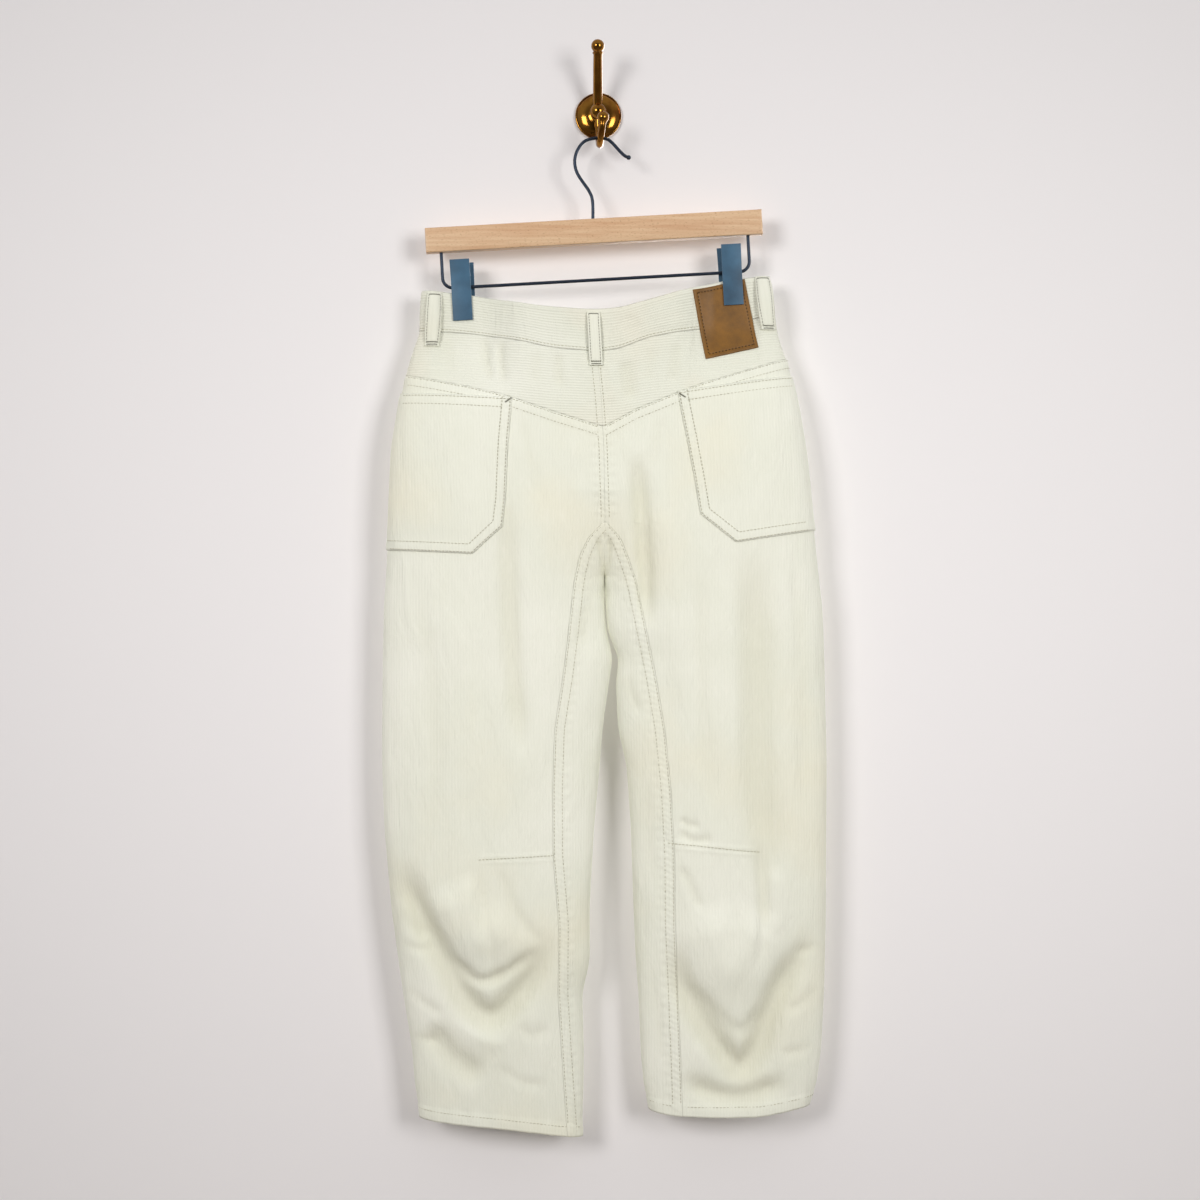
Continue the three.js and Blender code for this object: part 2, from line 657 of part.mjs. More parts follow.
// Waistband: two halves that meet at the centre back. At the centre front the left end
// steps out and laps over the right end.
const bandRight = cornersOf(SIDES.right, rowsBetween(0, 1), bandTurns);
const bandLap = cornersOf(SIDES.right, rowsBetween(0, 1), LAP_STATIONS.map(fixedTurn));
const bandLeft = cornersOf(SIDES.left, rowsBetween(0, 1), bandTurns).map((row, i) => {
  const stepStart = row.length - LAP_STEP_SHARES.length;
  const stepped = row.map((corner, j) => ({
    ...corner,
    extra: (LAP_STEP_SHARES[j - stepStart] ?? 0) * (BAND_WALL + LAYER_GAP),
  }));
  const over = bandLap[i].map((corner) => ({ ...corner, extra: BAND_WALL + LAYER_GAP }));
  return [...stepped, ...over];
});
drawIn(bandLeft, { bottom: true });
drawIn(bandRight, { bottom: true });
function bandSheet(corners, flip) {
  return new Sheet().addGrid(corners, flip).wall(BAND_PROUD, BAND_WALL);
}
garment.add(piece("waistband_left", bandSheet(bandLeft, true), CLOTH));
garment.add(piece("waistband_right", bandSheet(bandRight, false), CLOTH));

// Belt loops and patch, cut from a layer over the waistband and yoke
function waistLayer(side, thickness) {
  const rows = rowsBetween(0, 2);
  const layer = sheetOf(side, cornersOf(side, rows, bandTurns));
  return layer.wall(BAND_PROUD + LAYER_GAP + thickness, thickness);
}

function strapOutline({ x, z, lean }) {
  const halfWidth = LOOP_WIDTH / 2;
  return [
    { x: x - halfWidth, z },
    { x: x + halfWidth, z },
    { x: x + lean + halfWidth, z: z - LOOP_LENGTH },
    { x: x + lean - halfWidth, z: z - LOOP_LENGTH },
  ];
}

for (const loop of SIDE_LOOPS) {
  const layer = waistLayer(SIDES[loop.side], LOOP_WALL);
  const [near, far] = loop.onBack ? [BEFORE_CLOTH, HANGER_Y] : [HANGER_Y, BEHIND_CLOTH];
  garment.add(piece(loop.name, cutOver(layer, strapOutline(loop), near, far), CLOTH));
}
const patchLayer = waistLayer(SIDES.right, PATCH_WALL);
const patch = cutOver(patchLayer, PATCH_OUTLINE, BEFORE_CLOTH, HANGER_Y);
garment.add(piece("leather_patch", patch, LEATHER));

// The centre back loop bridges the two halves of the waistband.
const centreLoop = LOOP_LEVELS.map((level) => {
  const z = CENTRE_LOOP.z - level * LOOP_LENGTH;
  return [-1, 0, 1].map((across) => {
    const x = CENTRE_LOOP.x + level * CENTRE_LOOP.lean + (across * LOOP_WIDTH) / 2;
    const half = x < track(SECTIONS, "z", "leftIn", z) ? SIDES.left : SIDES.right;
    const at = clothPoint(half, z, turnAt(half, z, x));
    return { at: at.setX(x), normal: new THREE.Vector3(0, -1, 0) };
  });
});
const centreLoopWall = new Sheet().addGrid(centreLoop, false);
const centreLoopOut = BAND_PROUD + 2 * LAYER_GAP + LOOP_WALL;
garment.add(piece("loop_back_centre", centreLoopWall.wall(centreLoopOut, LOOP_WALL), CLOTH));

// Waist button on the lapping end, a shallow dish with a rim
const buttonProfile = BUTTON_PROFILE.map(([r, h]) => new THREE.Vector2(r, h));
const button = piece("waist_button", new THREE.LatheGeometry(buttonProfile, 20), HORN);
const buttonTurn = fixedTurn(BUTTON_TURN);
const [[buttonSeat]] = cornersOf(SIDES.right, [{ zone: 0, share: 0.5 }], [buttonTurn]);
const buttonOut = BAND_PROUD + BAND_WALL + 2.5 * LAYER_GAP;
button.position.copy(buttonSeat.at).addScaledVector(buttonSeat.normal, buttonOut);
button.quaternion.setFromUnitVectors(new THREE.Vector3(0, 1, 0), buttonSeat.normal);
garment.add(button);

// Round wire along a path in a plane
function wire(path, radius, steps) {
  const around = Array.from({ length: WIRE_SIDES }, (_, i) => {
    const angle = (i * FULL_TURN) / WIRE_SIDES;
    return new THREE.Vector2(radius * Math.cos(angle), radius * Math.sin(angle));
  });
  return new THREE.ExtrudeGeometry(new THREE.Shape(around), { steps, extrudePath: path });
}

const flatPoint = (x, z) => new THREE.Vector3(x, 0, z);

// The hanger's own frame has its bar along X and is tilted as it hangs.
const hanger = new THREE.Group();
hanger.position.set(BAR_CENTRE.x, HANGER_Y, BAR_CENTRE.z);
hanger.rotation.y = -HANGER_TILT;

const halfBar = BAR.length / 2 - BAR.bevel;
const halfRise = BAR.height / 2 - BAR.bevel;
const barShape = new THREE.Shape()
  .moveTo(-halfBar, -halfRise)
  .lineTo(halfBar, -halfRise)
  .lineTo(halfBar, halfRise)
  .lineTo(-halfBar, halfRise);
const barBlock = new THREE.ExtrudeGeometry(barShape, {
  depth: BAR.depth - 2 * BAR.bevel,
  bevelThickness: BAR.bevel,
  bevelSize: BAR.bevel,
  bevelSegments: 2,
});
barBlock.rotateX(Math.PI / 2).translate(0, BAR.depth / 2 - BAR.bevel, 0);
const socket = (x, centre) => {
  const radius = WIRE_RADIUS + HOLE_CLEARANCE;
  const hole = new THREE.CylinderGeometry(radius, radius, SOCKET_DEPTH, 16);
  return solidOf(hole.rotateX(Math.PI / 2).translate(x, 0, centre));
};
const barSolid = solidOf(barBlock)
  .subtract(socket(SHANK_X, BAR.height / 2 + SOCKET_OVER - SOCKET_DEPTH / 2))
  .subtract(socket(-DROP_REACH, -BAR.height / 2 - SOCKET_OVER + SOCKET_DEPTH / 2))
  .subtract(socket(DROP_REACH, -BAR.height / 2 - SOCKET_OVER + SOCKET_DEPTH / 2));
hanger.add(piece("hanger_bar", geometryOf(barSolid), WOOD));

const dropTop = -BAR.height / 2 + DROP_INSIDE;
const rodPath = new THREE.CurvePath();
const bendTop = ROD_BEND - ROD_DROP;
const bendEnd = DROP_REACH - ROD_BEND;
const bendPoints = (...places) => places.map(([x, z]) => flatPoint(x, z));
const leftBend = bendPoints([-DROP_REACH, bendTop], [-DROP_REACH, -ROD_DROP], [-bendEnd, -ROD_DROP]);
const rightBend = bendPoints([bendEnd, -ROD_DROP], [DROP_REACH, -ROD_DROP], [DROP_REACH, bendTop]);
rodPath.add(new THREE.LineCurve3(flatPoint(-DROP_REACH, dropTop), leftBend[0]));
rodPath.add(new THREE.QuadraticBezierCurve3(...leftBend));
rodPath.add(new THREE.LineCurve3(leftBend[2], rightBend[0]));
rodPath.add(new THREE.QuadraticBezierCurve3(...rightBend));
rodPath.add(new THREE.LineCurve3(rightBend[2], flatPoint(DROP_REACH, dropTop)));
hanger.add(piece("hanger_wire", wire(rodPath, WIRE_RADIUS, ROD_STEPS), DARK_WIRE));

// Clip plate seen from its side: the jaw stands off the cloth, the top splays away.
function clipPlate(jaw) {
  const waistEdge = -ROD_DROP - 8;
  const pivot = Math.max(jaw, SPRING.outer + JAW_GAP);
  const inner = [
    [jaw, CLIP.bottom],
    [jaw, waistEdge],
    [pivot, -ROD_DROP - 3],
    [pivot, -ROD_DROP + 4],
    [CLIP_SPLAY, CLIP.top],
  ];
  const outer = inner.map(([y, z]) => [y + CLIP.plate, z]).reverse();
  const shape = new THREE.Shape([...inner, ...outer].map(([y, z]) => new THREE.Vector2(y, z)));
  const plate = new THREE.ExtrudeGeometry(shape, { depth: CLIP.width, bevelEnabled: false });
  plate.translate(0, 0, -CLIP.width / 2);
  const across = new THREE.Vector3(1, 0, 0);
  const away = new THREE.Vector3(0, 1, 0);
  const up = new THREE.Vector3(0, 0, 1);
  return plate.applyMatrix4(new THREE.Matrix4().makeBasis(away, up, across));
}

const bandOut = JAW_DEPTH + BAND_PROUD + JAW_GAP;
const patchOut = bandOut + LAYER_GAP + PATCH_WALL;
const springProfile = [
  [SPRING.inner, 0],
  [SPRING.outer, 0],
  [SPRING.outer, SPRING.length],
  [SPRING.inner, SPRING.length],
  [SPRING.inner, 0],
].map(([r, h]) => new THREE.Vector2(r, h - SPRING.length / 2));
for (const clip of [
  { name: "clip_left", x: -CLIP.reach, near: bandOut },
  { name: "clip_right", x: CLIP.reach, near: patchOut },
]) {
  const nearPlate = piece(clip.name + "_near_plate", clipPlate(clip.near), PAINTED_STEEL);
  nearPlate.rotation.z = Math.PI;
  const farPlate = piece(clip.name + "_far_plate", clipPlate(bandOut), PAINTED_STEEL);
  const spring = piece(clip.name + "_spring", new THREE.LatheGeometry(springProfile, 16), DARK_WIRE);
  spring.rotation.z = Math.PI / 2;
  spring.position.z = -ROD_DROP;
  const group = new THREE.Group().add(nearPlate, farPlate, spring);
  group.position.x = clip.x;
  hanger.add(group);
}

// Hanger hook: one wire from its socket in the bar, round over the wall hook, with a
// ball on its end.
const hookPath = new THREE.CatmullRomCurve3(HOOK_ROUTE.map(({ x, z }) => flatPoint(x, z)));
const hookEnd = HOOK_ROUTE[HOOK_ROUTE.length - 1];
const hookBall = new THREE.SphereGeometry(HOOK_BALL_RADIUS, 12, 8).translate(hookEnd.x, 0, hookEnd.z);
const hookSolid = solidOf(wire(hookPath, WIRE_RADIUS, HOOK_STEPS)).add(solidOf(hookBall));
const hangerHook = piece("hanger_hook", geometryOf(hookSolid), DARK_WIRE);
hangerHook.position.y = HANGER_Y;

// Wall plate, turned, flat on the wall
const plateProfile = PLATE_PROFILE.map(([r, y]) => new THREE.Vector2(r, y));
const wallPlate = piece("wall_plate", new THREE.LatheGeometry(plateProfile, 36), BRASS);

// Cast hook: boss, upper arm and lower arm, each arm ending in a ball
const armPath = (route) =>
  new THREE.CatmullRomCurve3(route.map(({ x, y, z }) => new THREE.Vector3(x, y, z)));
const ballAt = ({ x, y, z }, radius) => new THREE.SphereGeometry(radius, 16, 10).translate(x, y, z);
const bossProfile = BOSS_PROFILE.map(([r, y]) => new THREE.Vector2(r, y));
const castSolid = solidOf(new THREE.LatheGeometry(bossProfile, 20))
  .add(solidOf(wire(armPath(UPPER_ARM), UPPER_ARM_RADIUS, 10)))
  .add(solidOf(ballAt(UPPER_ARM[UPPER_ARM.length - 1], UPPER_BALL_RADIUS)))
  .add(solidOf(wire(armPath(LOWER_ARM), LOWER_ARM_RADIUS, 14)))
  .add(solidOf(ballAt(LOWER_ARM[LOWER_ARM.length - 1], LOWER_BALL_RADIUS)));
const wallHook = piece("wall_hook", geometryOf(castSolid), BRASS);

const trousers = new THREE.Group().add(garment, hanger, hangerHook, wallPlate, wallHook);
export default trousers;
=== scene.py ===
# Utility trousers of ribbed cotton on a clip hanger and a wall hook, seen from their back.
# Garment sizes and tables are in millimetres; everything made in Blender is in metres.
import math
from functools import partial

import bmesh
import bpy
import numpy as np
from mathutils import Matrix, Vector


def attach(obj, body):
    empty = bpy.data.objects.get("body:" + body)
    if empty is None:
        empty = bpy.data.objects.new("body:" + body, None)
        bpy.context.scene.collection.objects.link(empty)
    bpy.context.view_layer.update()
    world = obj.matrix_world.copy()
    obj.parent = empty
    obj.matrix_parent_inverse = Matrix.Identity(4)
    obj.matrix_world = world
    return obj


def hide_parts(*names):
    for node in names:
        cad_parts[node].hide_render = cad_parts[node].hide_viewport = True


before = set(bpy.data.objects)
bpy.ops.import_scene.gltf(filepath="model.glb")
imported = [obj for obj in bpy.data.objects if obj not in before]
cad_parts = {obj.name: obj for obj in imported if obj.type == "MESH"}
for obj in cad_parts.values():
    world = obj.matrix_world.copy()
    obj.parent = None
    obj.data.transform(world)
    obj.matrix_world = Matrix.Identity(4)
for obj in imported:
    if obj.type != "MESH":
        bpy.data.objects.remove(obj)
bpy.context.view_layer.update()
scene = bpy.context.scene

# Photographer's set
# A pale painted wall that the hook is fixed to, and a brown-grey floor well below the hems.
# Two soft boxes with narrow beams stand at about the hook's height, left and right of the
# camera, and a third one lights the rear.
MM = 0.001
camera = bpy.data.objects.new("camera", bpy.data.cameras.new("camera"))
camera.data.lens = 50.94
camera.data.sensor_width = 36
camera.location = (1.74 * MM, -1840 * MM, -524 * MM)
camera.rotation_euler = (math.radians(90), 0, 0)
scene.collection.objects.link(camera)
scene.camera = camera


def linear(hex_colour):
    channels = [int(hex_colour[i : i + 2], 16) / 255 for i in (0, 2, 4)]
    bright = [((c + 0.055) / 1.055) ** 2.4 if c > 0.04045 else c / 12.92 for c in channels]
    return (*bright, 1.0)


def add(tree, kind, inputs=None, out=0, **settings):
    """Adds a shader node. An input is a value or another node's output."""
    node = tree.nodes.new(kind)
    for name, value in settings.items():
        setattr(node, name, value)
    for name, value in (inputs or {}).items():
        if isinstance(value, bpy.types.NodeSocket):
            tree.links.new(value, node.inputs[name])
        else:
            node.inputs[name].default_value = value
    return node.outputs[out] if node.outputs else None


def new_material(name):
    """A material, its empty tree, and the places on an object that its patterns use."""
    material = bpy.data.materials.new(name)
    material.use_nodes = True
    tree = material.node_tree
    tree.nodes.clear()
    return material, tree, add(tree, "ShaderNodeTexCoord", out="Object")


def noise(tree, at, scale, detail=2, **more):
    inputs = {"Vector": at, "Scale": scale, "Detail": detail, **more}
    return add(tree, "ShaderNodeTexNoise", inputs, "Fac")


def bump(tree, height, strength, distance, over=None):
    inputs = {"Height": height, "Strength": strength, "Distance": distance}
    return add(tree, "ShaderNodeBump", inputs if over is None else {**inputs, "Normal": over})


def shaded(tree, colour, normal=None, **values):
    """Ends a material in one shader. Names of values have _ where the sockets have spaces."""
    inputs = {name.replace("_", " "): value for name, value in values.items()}
    inputs["Base Color"] = colour
    if normal is not None:
        inputs["Normal"] = normal
    shader = add(tree, "ShaderNodeBsdfPrincipled", inputs)
    add(tree, "ShaderNodeOutputMaterial", {"Surface": shader})
    return shader


# Matt emulsion paint: no gloss, the faint tooth of a roller. Seen from behind it is clear,
# so that the rear of the hanging trousers shows.
wall_paint, tree, body = new_material("wall_paint")
tooth = bump(tree, noise(tree, body, 700), 0.05, 0.0003)
paint = shaded(tree, linear("E9E6E6"), tooth, Roughness=0.9)
behind = add(tree, "ShaderNodeNewGeometry", out="Backfacing")
clear = add(tree, "ShaderNodeBsdfTransparent")
one_sided = add(tree, "ShaderNodeMixShader", {0: behind, 1: paint, 2: clear})
tree.links.new(one_sided, tree.nodes["Material Output"].inputs["Surface"])

# Floor paint, trodden and half matt.
floor_paint, tree, _ = new_material("floor_paint")
shaded(tree, linear("8E857C"), Roughness=0.6)

WALL_Y = 0.0015
WALL_TOP = 1.6
FLOOR_Z = -1.55
HALF_ROOM = 3
FLOOR_FRONT = -4


def stage_panel(name, corners, material):
    mesh = bpy.data.meshes.new(name)
    mesh.from_pydata(corners, [], [(0, 1, 2, 3)])
    mesh.materials.append(material)
    panel = bpy.data.objects.new(name, mesh)
    scene.collection.objects.link(panel)
    return panel


corner_signs = ((-1, 0), (1, 0), (1, 1), (-1, 1))
wall_corners = [(HALF_ROOM * i, WALL_Y, (FLOOR_Z, WALL_TOP)[j]) for i, j in corner_signs]
floor_corners = [(HALF_ROOM * i, (FLOOR_FRONT, HALF_ROOM)[j], FLOOR_Z) for i, j in corner_signs]
wall = stage_panel("wall", wall_corners, wall_paint)
stage_panel("floor", floor_corners, floor_paint)


def soft_box(name, place, aim, size, watts, colour, spread=math.pi):
    lamp = bpy.data.lights.new(name, "AREA")
    lamp.shape = "RECTANGLE"
    lamp.size, lamp.size_y = size
    lamp.energy = watts
    lamp.spread = spread
    lamp.color = linear(colour)[:3]
    holder = bpy.data.objects.new(name, lamp)
    holder.location = place
    holder.rotation_euler = (Vector(aim) - Vector(place)).to_track_quat("-Z", "Y").to_euler()
    scene.collection.objects.link(holder)
    return holder


BEAM = 1.6
soft_box("left_box", (-1.3, -2.2, 0.15), (0.1, 0, -0.6), (0.8, 0.8), 7.7, "FFFDFC", BEAM)
soft_box("right_box", (1.4, -2.2, -0.1), (0.05, 0, -0.5), (0.8, 1.0), 8.0, "FFFEFD", BEAM)
rear_box = soft_box("rear_fill", (0.6, 1.6, 0.1), (0, 0, -0.6), (1.2, 1.2), 22, "FFFFFF")

# The rear fill reaches the trousers through the wall, and doesn't light the wall itself.
for role, name in (("blocker_collection", "past_wall"), ("receiver_collection", "unlit_wall")):
    group = bpy.data.collections.new(name)
    group.objects.link(wall)
    group.collection_objects[0].light_linking.link_state = "EXCLUDE"
    setattr(rear_box.light_linking, role, group)


def ranged(tree, value, from_low, from_high, to_low, to_high):
    inputs = {"From Min": from_low, "From Max": from_high, "To Min": to_low, "To Max": to_high}
    return add(tree, "ShaderNodeMapRange", {"Value": value, **inputs})


def reckon(tree, operation, first, second):
    return add(tree, "ShaderNodeMath", {0: first, 1: second}, operation=operation)


# Daylight in a room: brighter from above, and dim from straight behind the camera.
daylight = bpy.data.worlds.new("daylight")
daylight.use_nodes = True
tree = daylight.node_tree
way = add(tree, "ShaderNodeTexCoord", out="Generated")
height = add(tree, "ShaderNodeSeparateXYZ", {"Vector": way}, "Z")
from_above = ranged(tree, height, -0.7, 0.8, 0.12, 0.6)
dark_end = ranged(tree, height.node.outputs["Y"], -0.97, -0.75, 0.12, 1.15)
sky = tree.nodes["Background"]
sky.inputs["Color"].default_value = linear("FDFDFF")
tree.links.new(reckon(tree, "MULTIPLY", from_above, dark_end), sky.inputs["Strength"])
scene.world = daylight
scene.view_settings.view_transform = "Standard"

# Back leg panels
# Two panels of cream cotton corded fabric, cut with a barrel leg: wide at the thigh and
# drawn in at the hem. Each runs from the yoke to the hem, and has a dart behind the knee.
CLOTH_WALL = 1.6
SEAM_GAP = 0.08
CROTCH_Z = -442
SADDLE_Z = -499
HANGER_Y = -32
HALF_TURN = math.pi
FULL_TURN = 2 * math.pi
OUTSEAM_TURN = 3.39
SIDES = {
    "left": {"sign": -1, "clip": -144.6, "jaw_end": -241},
    "right": {"sign": 1, "clip": 144.8, "jaw_end": -230},
}

# Level sections from the hem up: silhouettes, inner edges, depth to each face, squareness
SECTIONS = {
    "z": (-1092, -1062, -1036, -1000, -942, -906, -850, -765, -700, -660, -612, -586, -556,
          -529, -499, -442, -366, -312, -272, -256, -240, -215, -195, -178),
    "left_out": (-186.5, -190.6, -195, -197.7, -207.2, -212.3, -219.7, -227.2, -229.4, -229.4,
                 -229, -228.6, -228, -227.5, -225.3, -222.3, -219, -211, -201.2, -196, -190,
                 -190, -188, -188),
    "left_in": (-17, -16.6, -15.7, -15.3, -17, -8.9, -9.2, -4.5, 1.4, 4.4, 11.2, 15.2, 8.4,
                6.6, 6.6, 6.8, 5.8, 3, -0.6, -2, -3.1, -3.6, -4, -4),
    "right_in": (58, 53.5, 47.8, 44.9, 42.6, 39.8, 37.3, 34.5, 30, 20.8, 18.6, 21.8, 9.2, 7.3,
                 6.6, 6.8, 5.8, 3, -0.6, -2, -3.1, -3.6, -4, -4),
    "right_out": (214, 223, 231.8, 236.6, 239.6, 240.6, 241.6, 242, 242.5, 241.7, 240.5, 239.9,
                  238.9, 237.6, 233.9, 228.1, 220, 211.2, 201.4, 194.9, 190.5, 187.3, 183.2, 180),
    "back": (19, 20, 21, 23, 26, 28, 30, 30, 30, 30, 30, 30, 31, 31, 32, 33, 32, 28, 24, 22, 21,
             20, 19, 18),
    "front": (16, 17, 18, 19, 21, 22, 23, 24, 24, 24, 24, 24, 24, 24, 24, 24, 23, 22, 20, 19, 18,
              17, 16, 15),
    "square": (3.4, 3.2, 3, 2.8, 2.6, 2.5, 2.5, 2.5, 2.5, 2.5, 2.5, 2.5, 2.5, 2.5, 2.5, 2.5, 2.7,
               3.4, 5.5, 7, 9, 12, 12, 12),
}
INSEAM = {
    "z": (-1092, -1024, -940, -862, -792, -724, -660, -604, -567, -504, -478, -458, -442),
    "left": (-32.5, -37.2, -42.3, -41.7, -47.6, -47.9, -45.8, -37, -32.3, -25.2, -19.6, -10.2, 6.8),
    "right": (89.6, 87.3, 83.9, 80.4, 79.9, 76.2, 69.8, 60.3, 52.8, 39.9, 30.8, 22.8, 6.8),
}
# Seams and edges that run across: softness of their bends, then width and height
ACROSS = {
    "waist_top": (6, (-192, -195), (-167, -196), (-131, -200.5), (-105, -205.8), (-72, -212),
                  (-50, -214.5), (-15, -217), (0, -217.3), (22, -215.6), (62, -204.4),
                  (100, -193), (131, -185), (160, -181), (192, -178.5)),
    "band_seam": (6, (-200, -238), (-149, -240), (-121, -243), (-89, -249.5), (-49, -258.6),
                  (0, -262.8), (23, -259.6), (51, -248), (107, -237.3), (171, -224.2),
                  (200, -219)),
    "yoke_seam": (2, (-215, -284), (-139, -298.8), (-97, -309.4), (-48, -326.3), (5.6, -343.1),
                  (40, -324.2), (89, -304.2), (111, -295.7), (152, -282.7), (215, -264)),
    "hem": (4, (-200, -1071), (-105, -1080), (-60, -1085.5), (-17, -1092.5), (-8, -1093),
            (44, -1062), (75, -1067), (130, -1068.5), (170, -1067.5), (214, -1060), (240, -1057)),
}


def eased(known, values, first, last, soft):
    """Reads a table every millimetre, straight between its rows and then eased at them."""
    fine = np.arange(first, last + 1, 1.0)
    reach = np.arange(-3 * soft, 3 * soft + 1)
    weights = np.exp(-0.5 * (reach / soft) ** 2)
    straight = np.pad(np.interp(fine, known, values), 3 * soft, mode="edge")
    return fine, np.convolve(straight, weights / weights.sum(), mode="valid")


levels = SECTIONS.pop("z")
SECTION_TABLES = {name: eased(levels, row, -1110, -160, 6) for name, row in SECTIONS.items()}
INSEAM_TABLES = {name: eased(INSEAM["z"], INSEAM[name], -1110, CROTCH_Z, 4) for name in SIDES}
ACROSS_TABLES = {name: eased(*zip(*line), -260, 260, n) for name, (n, *line) in ACROSS.items()}


def at_level(name, z):
    return np.interp(z, *SECTION_TABLES[name])


def at_width(name, x):
    return np.interp(x, *ACROSS_TABLES[name])


def smooth(v):
    v = np.clip(v, 0, 1)
    return v * v * (3 - 2 * v)


def fade(v, reach):
    return 1 - smooth(v / reach)


def bell(v, width):
    return np.exp(-((v / width) ** 2))


def unit(v):
    return v / np.maximum(np.linalg.norm(v, axis=-1, keepdims=True), 1e-9)


def run_length(steps):
    """Length from the start of a line to each of its points, from the steps between them."""
    return np.concatenate([[0], np.cumsum(steps)])


def half_section(side, z):
    outer = at_level(side + "_out", z)
    inner = at_level(side + "_in", z) + SIDES[side]["sign"] * SEAM_GAP / 2
    return (outer + inner) / 2, (inner - outer) / 2


def turn_at(side, z, x):
    middle, reach = half_section(side, z)
    return np.arccos(np.clip((x - middle) / reach, -1, 1))


